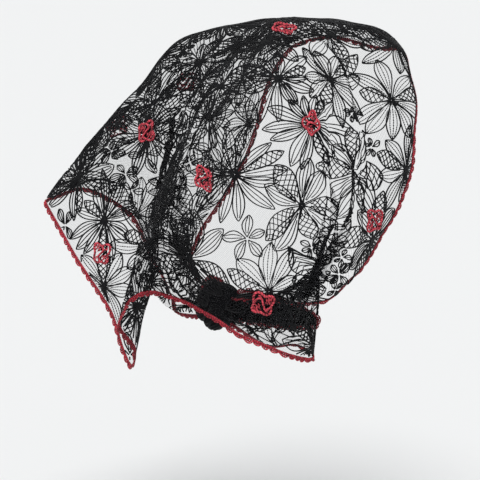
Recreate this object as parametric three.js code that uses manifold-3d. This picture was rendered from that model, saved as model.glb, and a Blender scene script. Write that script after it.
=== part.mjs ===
// A triangle scarf of black flower lace, in the form it takes when worn: laid over the crown, tied at the
// nape, its point hanging free at the back. Millimetres, +Z up, the front edge towards -Y, the right side
// towards -X. The origin is the inside of the cloth at the crown.
//
// The cloth is first a flat triangle. A place on it is (s, t): s runs along the straight front edge, positive
// to the right, and t runs back to the point, both from the place that lies on the crown. Worn, the cloth
// hangs along ribs that leave the crown like spokes, one for each turn of the flat cloth, and every rib is a
// Bezier curve. Turn 0 is the middle of the front, 90 the right side and 180 the point.

import * as THREE from 'three';
import { mergeVertices } from 'three/addons/utils/BufferGeometryUtils.js';
import Module from 'manifold-3d';

const wasm = await Module();
wasm.setup();

// The flat cut.
const CUT_DEPTH = 396;
const CUT_HALF_WIDTH = 560;
const CROWN_TO_FRONT = 95;
const CROWN_TO_KNOT = 335;
const CLOTH_WALL = 1.2;

// The edging, a narrow band of crochet.
const TRIM_WIDTH = 3.4;
const TRIM_WALL = 1.6;
const TRIM_GAP = 0.5;
// The share of its last step that the edging stops short of the knot.
const TRIM_CUT = 0.1;

// The sewn crochet flowers.
const ROSETTE_RADIUS = 9.4;
const ROSETTE_LOBE_DEPTH = 1.7;
const ROSETTE_CORD = 2.0;
const ROSETTE_WALL = 1.6;
const ROSETTE_GAP = 0.8;
const ROSETTE_POINTS = 16;
const ROSETTE_LOBES = 4;

// The knot at the nape, and the two short ends that come out of it.
const KNOT_CENTRE = [0, 63, -206];
const KNOT_HALF_LENGTH = 11.6;
const KNOT_END_RADIUS = 14;
const KNOT_RADIUS = 18.5;
const KNOT_SIDES = 16;
const KNOT_STEPS = 6;
const TAIL_WALL = 2.4;

// How finely the cloth is divided. The openings between the flowers lie in every second cell from one row
// down to another, where the cell is wide enough, and a share of each flower's reach stays closed.
const ROWS = 20;
const WIDEST_COLUMN = 5.2;
const FIRST_OPEN_ROW = 6;
const LAST_OPEN_ROW = ROWS - 2;
const NARROWEST_OPENING = 8;
const PETAL_COVER = 0.86;
const ROSETTE_COVER = 2;

// How finely curves are followed: steps along a rib, and the small spans over which slopes are measured, as
// a turn, as a share of a rib and on the flat cut. Slopes at the crown are taken a little way down the rib.
const RIB_STEPS = 36;
const TURN_SPAN = 0.4;
const SHARE_SPAN = 0.01;
const CROWN_SHARE = 0.04;
const STRETCH_SPAN = 6;
const MERGE_DISTANCE = 1e-4;

// The turns of the ribs at which the front edge and then the hem run into the knot.
const FRONT_CORNER = 74.2;
const HEM_CORNER = 100.8;

// The ribs on the right, from the middle of the front round to the point. lead is how far a rib runs level
// out of the crown, mid pulls it out over its bend, and edge is its end on the hem.
const RIB_COLUMNS = ['turn', 'lead', 'midX', 'midY', 'midZ', 'edgeX', 'edgeY', 'edgeZ'];
const RIGHT_RIBS = [
  [0, 50, 0, -84, -4, 0, -94, -29],
  [20, 50, -26, -76, -3, -37, -79, -24],
  [36, 50, -56, -60, -2, -62, -64, -32],
  [44, 52, -72, -52, -14, -74, -58, -46],
  [50, 56, -86, -46, -24, -83, -53, -66],
  [56, 62, -94, -36, -44, -87, -47, -96],
  [62, 66, -98, -20, -70, -88, -33, -127],
  [66, 68, -104, -4, -100, -88, -11, -152],
  [68.6, 72, -112, 10, -130, -85, 13, -174],
  [70.3, 76, -122, 18, -150, -80, 29, -190],
  [72.3, 80, -134, 24, -170, -50, 46, -194],
  [74.2, 84, -146, 30, -182, -12, 60, -196],
  [82, 84, -148, 38, -198, -12, 62, -202],
  [91, 84, -150, 48, -212, -12, 64, -209],
  [100.8, 84, -148, 60, -222, -12, 66, -216],
  [105, 84, -136, 62, -206, -56, 60, -222],
];
const RIGHT_BACK_RIBS = [
  [113, 82, -120, 66, -164, -82, 44, -226],
  [122.6, 80, -106, 82, -130, -86, 50, -228],
  [128, 80, -98, 96, -120, -91, 74, -219],
  [137, 80, -82, 114, -108, -69, 101, -204],
  [148, 78, -60, 134, -100, -31, 115, -187],
  [157, 74, -42, 142, -92, -8, 126, -182],
  [163, 72, -30, 142, -84, -12, 144, -178],
  [167, 70, -22, 134, -84, -14, 160, -186],
  [172, 74, -10, 118, -100, -2, 154, -205],
  [176, 78, -4, 112, -106, -2, 140, -224],
  [180, 80, -2, 110, -112, 8, 138, -238],
];
// The back on the left flares out to a corner, so it isn't the right's mirror image.
const LEFT_BACK_RIBS = [
  [192, 78, 14, 110, -90, 36, 134, -206],
  [202, 60, 62, 110, -60, 84, 136, -164],
  [212, 55, 66, 84, -40, 116, 134, -137],
  [222, 60, 90, 82, -60, 124, 100, -134],
  [234, 75, 100, 56, -90, 112, 56, -160],
  [247, 82, 118, 56, -156, 88, 44, -212],
];

// Folds pressed into the cloth, each a straight line on the flat cut that swells out, or in where height is
// negative. The side folds draw together where the front edge turns under to the knot. A fold rises from
// nothing just before its start to its full height part of the way along, both as shares of its length.
const FOLD_START = -0.1;
const FOLD_FULL = 0.45;
const FOLD_COLUMNS = ['fromS', 'fromT', 'toS', 'toT', 'height', 'reach'];
const RIGHT_FOLDS = [
  [92, 42, 252, -86, 6, 13],
  [104, -38, 236, -90, 4, 10],
  [120, 92, 262, -40, 5, 13],
  [38, 60, 172, 158, -6, 16],
];

// Flowers of the lace on the flat cut: each centre and how far its petals reach.
const FLOWER_COLUMNS = ['s', 't', 'reach'];
const FLOWERS = [
  [38, -20, 34], [101, -61, 32], [162, -36, 34], [98, 48, 36], [35, 88, 34], [-41, 134, 36],
  [110, 183, 32], [79, 136, 30], [20, 188, 30], [-66, 230, 30], [12, 262, 26], [162, 142, 32],
  [172, 84, 32], [226, 58, 30], [216, -8, 32], [232, -70, 28], [284, -36, 30], [292, 26, 28],
  [-34, 36, 32], [-36, -46, 30], [-104, -58, 32], [-100, 12, 34], [-104, 78, 32], [-127, 132, 34],
  [-96, 192, 28], [-162, 178, 28], [-178, 96, 32], [-168, 30, 32], [-168, -42, 32], [-236, 54, 30],
  [-234, -22, 32], [-292, 10, 28], [-290, -62, 26],
];

// Where the crochet flowers are sewn on, and how far each is turned.
const ROSETTE_COLUMNS = ['s', 't', 'turn'];
const ROSETTES = [
  [18, 16, 12], [98, 48, 40], [79, 136, 20], [-41, 134, 55], [-66, 226, 75], [165, 152, 30],
  [195, -82, 8], [-127, 132, 35], [-98, 48, 50], [-195, -82, 82],
];

// One hole of a crochet flower: its corners as shares of the inner reach of the ring, and of half a lobe.
const HOLE_COLUMNS = ['reach', 'spread'];
const HOLE = [
  [0.62, 0.62],
  [1, 0],
  [0.62, -0.62],
  [0.2, 0],
];

// The free ends: each runs out beside the knot, inside the cloth.
const TAIL_COLUMNS = ['x', 'y', 'z', 'width'];
const TAIL = [
  [2, 58, -206, 14],
  [16, 47, -206, 21],
  [34, 40, -207, 19],
  [52, 31, -209, 13],
  [64, 24, -211, 5],
];

function named(columns, rows) {
  return rows.map((row) => Object.fromEntries(columns.map((name, i) => [name, row[i]])));
}

function mirroredRib([turn, lead, midX, midY, midZ, edgeX, edgeY, edgeZ]) {
  return [360 - turn, lead, -midX, midY, midZ, -edgeX, edgeY, edgeZ];
}

const ribs = named(RIB_COLUMNS, [
  ...RIGHT_RIBS,
  ...RIGHT_BACK_RIBS,
  ...LEFT_BACK_RIBS,
  ...RIGHT_RIBS.slice(1).reverse().map(mirroredRib),
]);

const folds = named(FOLD_COLUMNS, [
  ...RIGHT_FOLDS,
  ...RIGHT_FOLDS.slice(0, -1).map(([fromS, fromT, toS, toT, height, reach]) =>
    [-fromS, fromT, -toS, toT, height, reach]),
]);

// A smooth curve through one column of the ribs, closed on itself, that never overshoots a rib.
function ringCurve(column) {
  const count = ribs.length;
  const at = (k) => ribs[(k + count) % count][column];
  const turnAt = (k) => ribs[(k + count) % count].turn + 360 * Math.floor(k / count);
  const slope = (k) => (at(k + 1) - at(k)) / (turnAt(k + 1) - turnAt(k));
  const bend = ribs.map((rib, k) => {
    const before = slope(k - 1);
    const after = slope(k);
    if (before * after <= 0) return 0;
    const widthBefore = turnAt(k) - turnAt(k - 1);
    const widthAfter = turnAt(k + 1) - turnAt(k);
    const weightBefore = 2 * widthAfter + widthBefore;
    const weightAfter = widthAfter + 2 * widthBefore;
    return (weightBefore + weightAfter) / (weightBefore / before + weightAfter / after);
  });
  return (turn) => {
    const round = ((turn % 360) + 360) % 360;
    let k = count - 1;
    while (ribs[k].turn > round) k -= 1;
    const width = turnAt(k + 1) - turnAt(k);
    const u = (round - turnAt(k)) / width;
    const rise = u * u * (3 - 2 * u);
    const out = u * (1 - u) * (1 - u) * width * bend[k];
    const back = u * u * (u - 1) * width * bend[(k + 1) % count];
    return at(k) * (1 - rise) + at(k + 1) * rise + out + back;
  };
}

const curves = Object.fromEntries(RIB_COLUMNS.slice(1).map((name) => [name, ringCurve(name)]));

// How far the flat cloth reaches from the crown at a turn, short of its edges by inset.
function flatReach(turn, inset = 0) {
  const side = Math.abs(Math.sin(THREE.MathUtils.degToRad(turn)));
  const ahead = Math.cos(THREE.MathUtils.degToRad(turn));
  const hemInset = inset * Math.hypot(1 / CUT_HALF_WIDTH, 1 / CUT_DEPTH);
  const hem = (1 - CROWN_TO_FRONT / CUT_DEPTH - hemInset) / (side / CUT_HALF_WIDTH - ahead / CUT_DEPTH);
  const front = ahead > 0 ? (CROWN_TO_FRONT - inset) / ahead : Infinity;
  const knot = side > 0 ? CROWN_TO_KNOT / side : Infinity;
  return Math.min(hem > 0 ? hem : Infinity, front, knot);
}

const ribCache = new Map();

// The rib at a turn as even steps of its Bezier curve, with the length run at each step.
function ribAt(turn) {
  const key = turn.toFixed(4);
  if (ribCache.has(key)) return ribCache.get(key);
  const angle = THREE.MathUtils.degToRad(turn);
  const lead = curves.lead(turn);
  const bezier = new THREE.CubicBezierCurve3(
    new THREE.Vector3(0, 0, 0),
    new THREE.Vector3(-lead * Math.sin(angle), -lead * Math.cos(angle), 0),
    new THREE.Vector3(curves.midX(turn), curves.midY(turn), curves.midZ(turn)),
    new THREE.Vector3(curves.edgeX(turn), curves.edgeY(turn), curves.edgeZ(turn)),
  );
  const lengths = bezier.getLengths(RIB_STEPS);
  const rib = { bezier, lengths };
  ribCache.set(key, rib);
  return rib;
}

// A place on the cloth before its folds: the share f of the way down the rib at a turn.
function drapedPoint(turn, f) {
  const { bezier, lengths } = ribAt(turn);
  const wanted = f * lengths[RIB_STEPS];
  let step = 0;
  while (step < RIB_STEPS - 1 && lengths[step + 1] < wanted) step += 1;
  const part = (wanted - lengths[step]) / (lengths[step + 1] - lengths[step]);
  return bezier.getPoint((step + part) / RIB_STEPS);
}

// The way out of the cloth: away from the crown's inside, square to the surface at a place.
function normalOf(surface, turn, f) {
  const share = Math.max(f, CROWN_SHARE);
  const across = surface(turn + TURN_SPAN, share).sub(surface(turn - TURN_SPAN, share));
  const down = surface(turn, share + SHARE_SPAN).sub(surface(turn, share - SHARE_SPAN));
  return across.cross(down).normalize();
}

// From a turn and a share of the rib to the flat cut, and back.
function flatPlace(turn, f) {
  const angle = THREE.MathUtils.degToRad(turn);
  const reach = f * flatReach(turn);
  return { s: reach * Math.sin(angle), t: -reach * Math.cos(angle) };
}

function clothPlace(s, t) {
  const turn = (THREE.MathUtils.radToDeg(Math.atan2(s, -t)) + 360) % 360;
  return { turn, f: Math.hypot(s, t) / flatReach(turn) };
}

// The way out of the flat cloth across its edge at a turn.
function flatOutward(turn) {
  const round = (turn + 360) % 360;
  if (Math.cos(THREE.MathUtils.degToRad(round)) > 0) return { s: 0, t: -1 };
  const slope = Math.sign(180 - round) * CUT_DEPTH / CUT_HALF_WIDTH;
  return { s: slope / Math.hypot(slope, 1), t: 1 / Math.hypot(slope, 1) };
}

// How far the folds lift the cloth at a place on the flat cut.
function foldHeight(s, t) {
  return folds.reduce((sum, fold) => {
    const runS = fold.toS - fold.fromS;
    const runT = fold.toT - fold.fromT;
    const along = ((s - fold.fromS) * runS + (t - fold.fromT) * runT) / (runS * runS + runT * runT);
    const near = THREE.MathUtils.clamp(along, 0, 1);
    const away = Math.hypot(s - fold.fromS - near * runS, t - fold.fromT - near * runT) / fold.reach;
    const risen = THREE.MathUtils.smoothstep(along, FOLD_START, FOLD_FULL);
    return sum + fold.height * risen * Math.exp(-away * away);
  }, 0);
}

function clothPoint(turn, f) {
  const { s, t } = flatPlace(turn, f);
  return drapedPoint(turn, f).addScaledVector(normalOf(drapedPoint, turn, f), foldHeight(s, t));
}

function clothNormal(turn, f) {
  return normalOf(clothPoint, turn, f);
}

// The turns of the grid's columns: every rib, and even steps between ribs that stand far apart.
function columnTurns() {
  return ribs.flatMap((rib, k) => {
    const next = k + 1 < ribs.length ? ribs[k + 1].turn : 360;
    const count = Math.ceil((next - rib.turn) / WIDEST_COLUMN);
    return Array.from({ length: count }, (_, i) => rib.turn + (next - rib.turn) * i / count);
  });
}

const turns = columnTurns();
const COLUMNS = turns.length;

// The grid's row j as a share of the way down the rib. The last row stops short of the edging.
function rowShare(turn, j) {
  const last = flatReach(turn, TRIM_GAP) / flatReach(turn);
  return Math.min(j / ROWS, last);
}

const innerGrid = turns.map((turn) =>
  Array.from({ length: ROWS + 1 }, (_, j) => clothPoint(turn, rowShare(turn, j))));
const outerGrid = turns.map((turn, i) =>
  innerGrid[i].map((point, j) =>
    point.clone().addScaledVector(clothNormal(turn, rowShare(turn, j)), CLOTH_WALL)));

const flowers = named(FLOWER_COLUMNS, FLOWERS);
const rosettes = named(ROSETTE_COLUMNS, ROSETTES);

// The lace is open between its flowers. A cell of the grid is an opening where no petal reaches its middle.
function isOpening(i, j) {
  if (i % 2 !== 0 || j % 2 !== 0 || j < FIRST_OPEN_ROW || j > LAST_OPEN_ROW) return false;
  const next = (i + 1) % COLUMNS;
  const width = innerGrid[i][j].distanceTo(innerGrid[next][j]);
  if (width < NARROWEST_OPENING) return false;
  const turn = (turns[i] + (next === 0 ? 360 : turns[next])) / 2;
  const { s, t } = flatPlace(turn, (j + 0.5) / ROWS);
  const clearOf = (row, reach) => Math.hypot(s - row.s, t - row.t) > reach;
  return flowers.every((flower) => clearOf(flower, flower.reach * PETAL_COVER))
    && rosettes.every((rosette) => clearOf(rosette, ROSETTE_RADIUS * ROSETTE_COVER));
}

function geometryFrom(points, triangles) {
  const places = points.flatMap((point) => point.toArray());
  const geometry = new THREE.BufferGeometry();
  geometry.setAttribute('position', new THREE.Float32BufferAttribute(places, 3));
  geometry.setIndex(triangles.flat());
  return geometry;
}

// The cloth as one closed wall: an inner and an outer sheet, joined round the edge and round each opening.
function clothGeometry() {
  const sheetSize = 1 + COLUMNS * ROWS;
  const inner = (i, j) => (j === 0 ? 0 : 1 + (i % COLUMNS) * ROWS + (j - 1));
  const outer = (i, j) => sheetSize + inner(i, j);
  const crown = innerGrid[0][0];
  const points = [
    crown,
    ...innerGrid.flatMap((column) => column.slice(1)),
    crown.clone().add(new THREE.Vector3(0, 0, CLOTH_WALL)),
    ...outerGrid.flatMap((column) => column.slice(1)),
  ];
  const triangles = [];
  const quad = (a, b, c, d) => triangles.push([a, b, c], [a, c, d]);
  const rim = (from, to) => quad(inner(...to), inner(...from), outer(...from), outer(...to));
  const solid = (i, j) => j < ROWS && !isOpening((i + COLUMNS) % COLUMNS, j);
  for (let i = 0; i < COLUMNS; i += 1) {
    triangles.push([outer(i, 0), outer(i + 1, 1), outer(i, 1)], [inner(i, 0), inner(i, 1), inner(i + 1, 1)]);
    for (let j = 1; j < ROWS; j += 1) {
      if (!solid(i, j)) continue;
      quad(outer(i, j), outer(i + 1, j), outer(i + 1, j + 1), outer(i, j + 1));
      quad(inner(i, j), inner(i, j + 1), inner(i + 1, j + 1), inner(i + 1, j));
      if (!solid(i, j + 1)) rim([i, j + 1], [i + 1, j + 1]);
      if (!solid(i, j - 1)) rim([i + 1, j], [i, j]);
      if (!solid(i - 1, j)) rim([i, j], [i, j + 1]);
      if (!solid(i + 1, j)) rim([i + 1, j + 1], [i + 1, j]);
    }
  }
  return geometryFrom(points, triangles);
}

// A closed bar through a row of sections, each a ring of the same number of corners.
function barGeometry(sections) {
  const corners = sections[0].length;
  const last = sections.length - 1;
  const triangles = [];
  for (let k = 0; k < last; k += 1) {
    for (let c = 0; c < corners; c += 1) {
      const d = (c + 1) % corners;
      const a = k * corners;
      const b = a + corners;
      triangles.push([a + c, a + d, b + d], [a + c, b + d, b + c]);
    }
  }
  for (let c = 1; c < corners - 1; c += 1) {
    triangles.push([0, c + 1, c], [last * corners, last * corners + c, last * corners + c + 1]);
  }
  return geometryFrom(sections.flat(), triangles);
}

// A band of edging that lies just past the cloth's edge, from one turn round to another.
function trimGeometry(fromTurn, toTurn) {
  const between = [...turns.map((turn) => turn - 360), ...turns]
    .filter((turn) => turn > fromTurn + TURN_SPAN && turn < toTurn - TURN_SPAN);
  const stations = [fromTurn, ...between, toTurn];
  const lift = (CLOTH_WALL - TRIM_WALL) / 2;
  const sections = stations.map((turn) => {
    const edge = clothPoint(turn, 1);
    const normal = clothNormal(turn, 1);
    const along = clothPoint(turn + TURN_SPAN, 1).sub(clothPoint(turn - TURN_SPAN, 1)).normalize();
    const place = flatPlace(turn, 1);
    const ahead = flatOutward(turn);
    const within = clothPlace(place.s - TRIM_WIDTH * ahead.s, place.t - TRIM_WIDTH * ahead.t);
    const outward = edge.clone().sub(clothPoint(within.turn, within.f));
    outward.projectOnPlane(along).projectOnPlane(normal).normalize();
    const corner = (out, up) => edge.clone().addScaledVector(outward, out).addScaledVector(normal, lift + up);
    return [corner(0, 0), corner(TRIM_WIDTH, 0), corner(TRIM_WIDTH, TRIM_WALL), corner(0, TRIM_WALL)];
  });
  const stopShort = (end, before) => end.forEach((corner, c) => corner.lerp(before[c], TRIM_CUT));
  stopShort(sections[0], sections[1]);
  stopShort(sections.at(-1), sections.at(-2));
  return barGeometry(sections);
}

// A place on the faceted outer sheet, so that what is sewn on follows the cloth's facets.
function outerPlace(s, t) {
  const { turn, f } = clothPlace(s, t);
  let i = COLUMNS - 1;
  while (turns[i] > turn) i -= 1;
  const next = (i + 1) % COLUMNS;
  const u = (turn - turns[i]) / ((next === 0 ? 360 : turns[next]) - turns[i]);
  const j = Math.min(Math.floor(f * ROWS), ROWS - 1);
  const v = f * ROWS - j;
  const near = outerGrid[i];
  const far = outerGrid[next];
  const [corner, least] = u > v ? [far[j], v] : [near[j + 1], u];
  return near[j].clone().multiplyScalar(1 - Math.max(u, v))
    .addScaledVector(corner, Math.abs(u - v))
    .addScaledVector(far[j + 1], least);
}

// Lace gives when it is worn, so a shape drawn on the flat cut comes out stretched. This undoes the stretch
// round one place: it takes a place on a small true shape and gives its offset on the flat cut.
function unstretched({ s, t, turn }) {
  const placed = (ds, dt) => {
    const place = clothPlace(s + ds, t + dt);
    return clothPoint(place.turn, place.f);
  };
  const alongS = placed(STRETCH_SPAN, 0).sub(placed(-STRETCH_SPAN, 0)).divideScalar(2 * STRETCH_SPAN);
  const alongT = placed(0, STRETCH_SPAN).sub(placed(0, -STRETCH_SPAN)).divideScalar(2 * STRETCH_SPAN);
  const [ss, st, tt] = [alongS.dot(alongS), alongS.dot(alongT), alongT.dot(alongT)];
  const area = Math.sqrt(ss * tt - st * st);
  const scale = area * Math.sqrt(ss + tt + 2 * area);
  const angle = THREE.MathUtils.degToRad(turn);
  return (x, y) => {
    const u = x * Math.cos(angle) - y * Math.sin(angle);
    const v = -x * Math.sin(angle) - y * Math.cos(angle);
    return { s: ((tt + area) * u - st * v) / scale, t: ((ss + area) * v - st * u) / scale };
  };
}

// A crochet flower: a lobed ring of cord with a cross of cord inside it, laid on the cloth.
function rosetteGeometry(rosette) {
  const step = 2 * Math.PI / ROSETTE_POINTS;
  const reachAt = (angle, cord) =>
    ROSETTE_RADIUS - ROSETTE_LOBE_DEPTH * (1 - Math.cos(ROSETTE_LOBES * angle)) / 2 - cord;
  const shape = new THREE.Shape(Array.from({ length: ROSETTE_POINTS }, (_, k) => {
    const reach = reachAt(k * step, 0);
    return new THREE.Vector2(reach * Math.cos(k * step), reach * Math.sin(k * step));
  }));
  for (let lobe = 0; lobe < ROSETTE_LOBES; lobe += 1) {
    const points = named(HOLE_COLUMNS, HOLE).map((corner) => {
      const angle = (2 * lobe + corner.spread) * Math.PI / ROSETTE_LOBES;
      const reach = corner.reach * reachAt(angle, ROSETTE_CORD);
      return new THREE.Vector2(reach * Math.cos(angle), reach * Math.sin(angle));
    });
    shape.holes.push(new THREE.Path(points));
  }
  const geometry = new THREE.ExtrudeGeometry(shape, { depth: ROSETTE_WALL, bevelEnabled: false });
  const trueShape = unstretched(rosette);
  const position = geometry.getAttribute('position');
  for (let k = 0; k < position.count; k += 1) {
    const flat = trueShape(position.getX(k), position.getY(k));
    const s = rosette.s + flat.s;
    const t = rosette.t + flat.t;
    const { turn, f } = clothPlace(s, t);
    const lift = ROSETTE_GAP + position.getZ(k);
    const point = outerPlace(s, t).addScaledVector(clothNormal(turn, f), lift);
    position.setXYZ(k, point.x, point.y, point.z);
  }
  return merged(geometry);
}

function merged(geometry) {
  geometry.deleteAttribute('normal');
  geometry.deleteAttribute('uv');
  return mergeVertices(geometry, MERGE_DISTANCE);
}

function manifoldOf(geometry) {
  const ready = geometry.getIndex() ? geometry : merged(geometry);
  return new wasm.Manifold(new wasm.Mesh({
    numProp: 3,
    vertProperties: new Float32Array(ready.getAttribute('position').array),
    triVerts: new Uint32Array(ready.getIndex().array),
  }));
}

function geometryOf(solid) {
  const { vertProperties, triVerts } = solid.getMesh();
  const geometry = new THREE.BufferGeometry();
  geometry.setAttribute('position', new THREE.BufferAttribute(new Float32Array(vertProperties), 3));
  geometry.setIndex(new THREE.BufferAttribute(new Uint32Array(triVerts), 1));
  return geometry;
}

// One free end, a flat band that narrows to its tip. side is -1 on the right.
function tailGeometry(side) {
  const sections = named(TAIL_COLUMNS, TAIL).map(({ x, y, z, width }) => {
    const corner = (back, up) => new THREE.Vector3(side * x, y + back * TAIL_WALL / 2, z + up * width / 2);
    const ring = [corner(-1, -1), corner(1, -1), corner(1, 1), corner(-1, 1)];
    return side < 0 ? ring.reverse() : ring;
  });
  return barGeometry(sections);
}

// The knot: a short barrel across the nape, fullest in its middle, with both free ends joined to it.
function knotGeometry() {
  const profile = Array.from({ length: KNOT_STEPS + 1 }, (_, k) => {
    const share = k / KNOT_STEPS;
    const radius = KNOT_END_RADIUS + (KNOT_RADIUS - KNOT_END_RADIUS) * Math.sin(Math.PI * share);
    return new THREE.Vector2(radius, KNOT_HALF_LENGTH * (2 * share - 1));
  });
  const outline = [
    new THREE.Vector2(0, -KNOT_HALF_LENGTH), ...profile, new THREE.Vector2(0, KNOT_HALF_LENGTH),
  ];
  const barrel = merged(new THREE.LatheGeometry(outline, KNOT_SIDES));
  barrel.rotateZ(-Math.PI / 2);
  barrel.translate(...KNOT_CENTRE);
  const solid = manifoldOf(barrel).add(manifoldOf(tailGeometry(-1))).add(manifoldOf(tailGeometry(1)));
  return geometryOf(solid);
}

const lace = new THREE.MeshStandardMaterial({ color: 0x17171b, roughness: 0.6, metalness: 0 });
const crochet = new THREE.MeshStandardMaterial({ color: 0xb41c33, roughness: 0.7, metalness: 0 });

function piece(name, geometry, material) {
  const mesh = new THREE.Mesh(geometry, material);
  mesh.name = name;
  return mesh;
}

const scarf = new THREE.Group();
scarf.add(piece('lace_cloth', clothGeometry(), lace));
scarf.add(piece('front_trim', trimGeometry(-FRONT_CORNER, FRONT_CORNER), crochet));
scarf.add(piece('hem_trim', trimGeometry(HEM_CORNER, 360 - HEM_CORNER), crochet));
rosettes.forEach((rosette, k) => {
  scarf.add(piece(`rosette_${String(k + 1).padStart(2, '0')}`, rosetteGeometry(rosette), crochet));
});
scarf.add(piece('nape_knot', knotGeometry(), lace));

export default scarf;
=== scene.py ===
"""The looks of a lace triangle scarf in its worn form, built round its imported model.

The cloth is drawn on its flat cut and then draped: a place on the cut is (s, t), where s runs along the
straight front edge to the right and t runs back to the point. Both are in metres from the place that lies on
the crown. The tulle ground, the corded flowers, the crochet edging and the crochet flowers all go through the
same drape, so they meet wherever the cloth bends.
"""

import logging
import math
from dataclasses import dataclass, field
from enum import Enum
from typing import Sequence

import bpy
import numpy as np
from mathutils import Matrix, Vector
from mathutils.kdtree import KDTree


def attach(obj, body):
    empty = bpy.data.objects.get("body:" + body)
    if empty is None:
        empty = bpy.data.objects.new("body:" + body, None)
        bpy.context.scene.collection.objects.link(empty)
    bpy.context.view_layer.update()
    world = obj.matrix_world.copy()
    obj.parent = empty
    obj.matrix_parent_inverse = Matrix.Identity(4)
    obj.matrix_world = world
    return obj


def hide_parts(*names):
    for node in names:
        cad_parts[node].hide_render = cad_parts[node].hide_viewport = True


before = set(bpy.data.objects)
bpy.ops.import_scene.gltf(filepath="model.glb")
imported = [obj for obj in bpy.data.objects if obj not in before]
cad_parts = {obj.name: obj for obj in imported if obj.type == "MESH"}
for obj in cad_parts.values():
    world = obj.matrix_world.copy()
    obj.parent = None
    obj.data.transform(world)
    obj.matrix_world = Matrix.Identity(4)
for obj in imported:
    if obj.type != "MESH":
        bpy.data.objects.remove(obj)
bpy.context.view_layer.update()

log = logging.getLogger("scarf")

Colour = tuple[float, float, float]

BODY = "root"
MM = 0.001
FULL_TURN = 360.0
HALF_TURN = 180.0
LEAST_LENGTH = 1e-12

# The UV layers: the place on the flat cut, and the length along a strand with the way round it. The knot has
# its x and z in the second.
CUT_LAYER = "cut"
STRAND_LAYER = "strand"

# The crochet along the edges is given a darker red than the crochet flowers, as painted shade: it is the same
# cotton.
SHADED_EDGING_RED: Colour = (0.80, 0.050, 0.085)

# The ribs on the right, from the middle of the front round to the point, in millimetres. lead is how far a
# rib runs level out of the crown, mid pulls it out over its bend, and edge is its end on the hem.
# Columns: turn, lead, mid x, mid y, mid z, edge x, edge y, edge z.
RIGHT_RIBS = (
    (0, 50, 0, -84, -4, 0, -94, -29),
    (20, 50, -26, -76, -3, -37, -79, -24),
    (36, 50, -56, -60, -2, -62, -64, -32),
    (44, 52, -72, -52, -14, -74, -58, -46),
    (50, 56, -86, -46, -24, -83, -53, -66),
    (56, 62, -94, -36, -44, -87, -47, -96),
    (62, 66, -98, -20, -70, -88, -33, -127),
    (66, 68, -104, -4, -100, -88, -11, -152),
    (68.6, 72, -112, 10, -130, -85, 13, -174),
    (70.3, 76, -122, 18, -150, -80, 29, -190),
    (72.3, 80, -134, 24, -170, -50, 46, -194),
    (74.2, 84, -146, 30, -182, -12, 60, -196),
    (82, 84, -148, 38, -198, -12, 62, -202),
    (91, 84, -150, 48, -212, -12, 64, -209),
    (100.8, 84, -148, 60, -222, -12, 66, -216),
    (105, 84, -136, 62, -206, -56, 60, -222),
)
RIGHT_BACK_RIBS = (
    (113, 82, -120, 66, -164, -82, 44, -226),
    (122.6, 80, -106, 82, -130, -86, 50, -228),
    (128, 80, -98, 96, -120, -91, 74, -219),
    (137, 80, -82, 114, -108, -69, 101, -204),
    (148, 78, -60, 134, -100, -31, 115, -187),
    (157, 74, -42, 142, -92, -8, 126, -182),
    (163, 72, -30, 142, -84, -12, 144, -178),
    (167, 70, -22, 134, -84, -14, 160, -186),
    (172, 74, -10, 118, -100, -2, 154, -205),
    (176, 78, -4, 112, -106, -2, 140, -224),
    (180, 80, -2, 110, -112, 8, 138, -238),
)
# The back on the left flares out to a corner, so it isn't the right's mirror image.
LEFT_BACK_RIBS = (
    (192, 78, 14, 110, -90, 36, 134, -206),
    (202, 60, 62, 110, -60, 84, 136, -164),
    (212, 55, 66, 84, -40, 116, 134, -137),
    (222, 60, 90, 82, -60, 124, 100, -134),
    (234, 75, 100, 56, -90, 112, 56, -160),
    (247, 82, 118, 56, -156, 88, 44, -212),
)

# Folds pressed into the cloth, each a straight line on the flat cut, in millimetres.
# Columns: from s, from t, to s, to t, height, reach.
RIGHT_FOLDS = (
    (92, 42, 252, -86, 6, 13),
    (104, -38, 236, -90, 4, 10),
    (120, 92, 262, -40, 5, 13),
    (38, 60, 172, 158, -6, 16),
)
FOLD_START = -0.1
FOLD_FULL = 0.45

# Where the cloth rounds off below its ribs, or swells out above them, in millimetres.
# Columns: s, t, height, reach.
SWELLS = (
    (32, -44, -4, 35),
    (-32, -44, -4, 35),
    (-54, 66, 6, 40),
    (-50, 65, 5, 16),
)

# The flowers whose places can be read, in millimetres on the flat cut. Columns: s, t.
FLOWER_PLACES = (
    (38, -20), (35, 88), (98, 48), (-41, 134), (101, -61), (162, -36), (110, 183), (27, 257),
    (162, 142), (-210, 147), (-162, 186), (-34, 36), (-36, -46), (-104, -58), (-100, 12), (226, 58),
)

# Where the crochet flowers are sewn on, in millimetres, how far each is turned, in degrees, and how much
# narrower than long its place in the folds makes it. Columns: s, t, turn, width.
ROSETTE_PLACES = (
    (18, 16, 12, 1.0), (98, 48, 36, 0.68), (79, 136, 8, 0.72), (-41, 134, 5, 1.0), (-66, 226, 25, 0.92),
    (165, 152, 95, 0.96), (195, -82, 8, 1.0), (-127, 132, 35, 1.0), (-98, 48, 50, 0.9), (-195, -82, 82, 1.0),
)

# The free ends beside the knot, in millimetres. Columns: x, y, z, width.
TAIL = (
    (2, 58, -206, 14),
    (16, 47, -206, 21),
    (34, 40, -207, 19),
    (52, 31, -209, 13),
    (64, 24, -211, 5),
)

# The turns, in degrees, at which the knot takes hold of the front edge and of the hem, and how far short of
# it their crochet stops, in metres.
FRONT_CORNER = 74.2
HEM_CORNER = 100.8
EDGING_SHORT = 0.003


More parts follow.
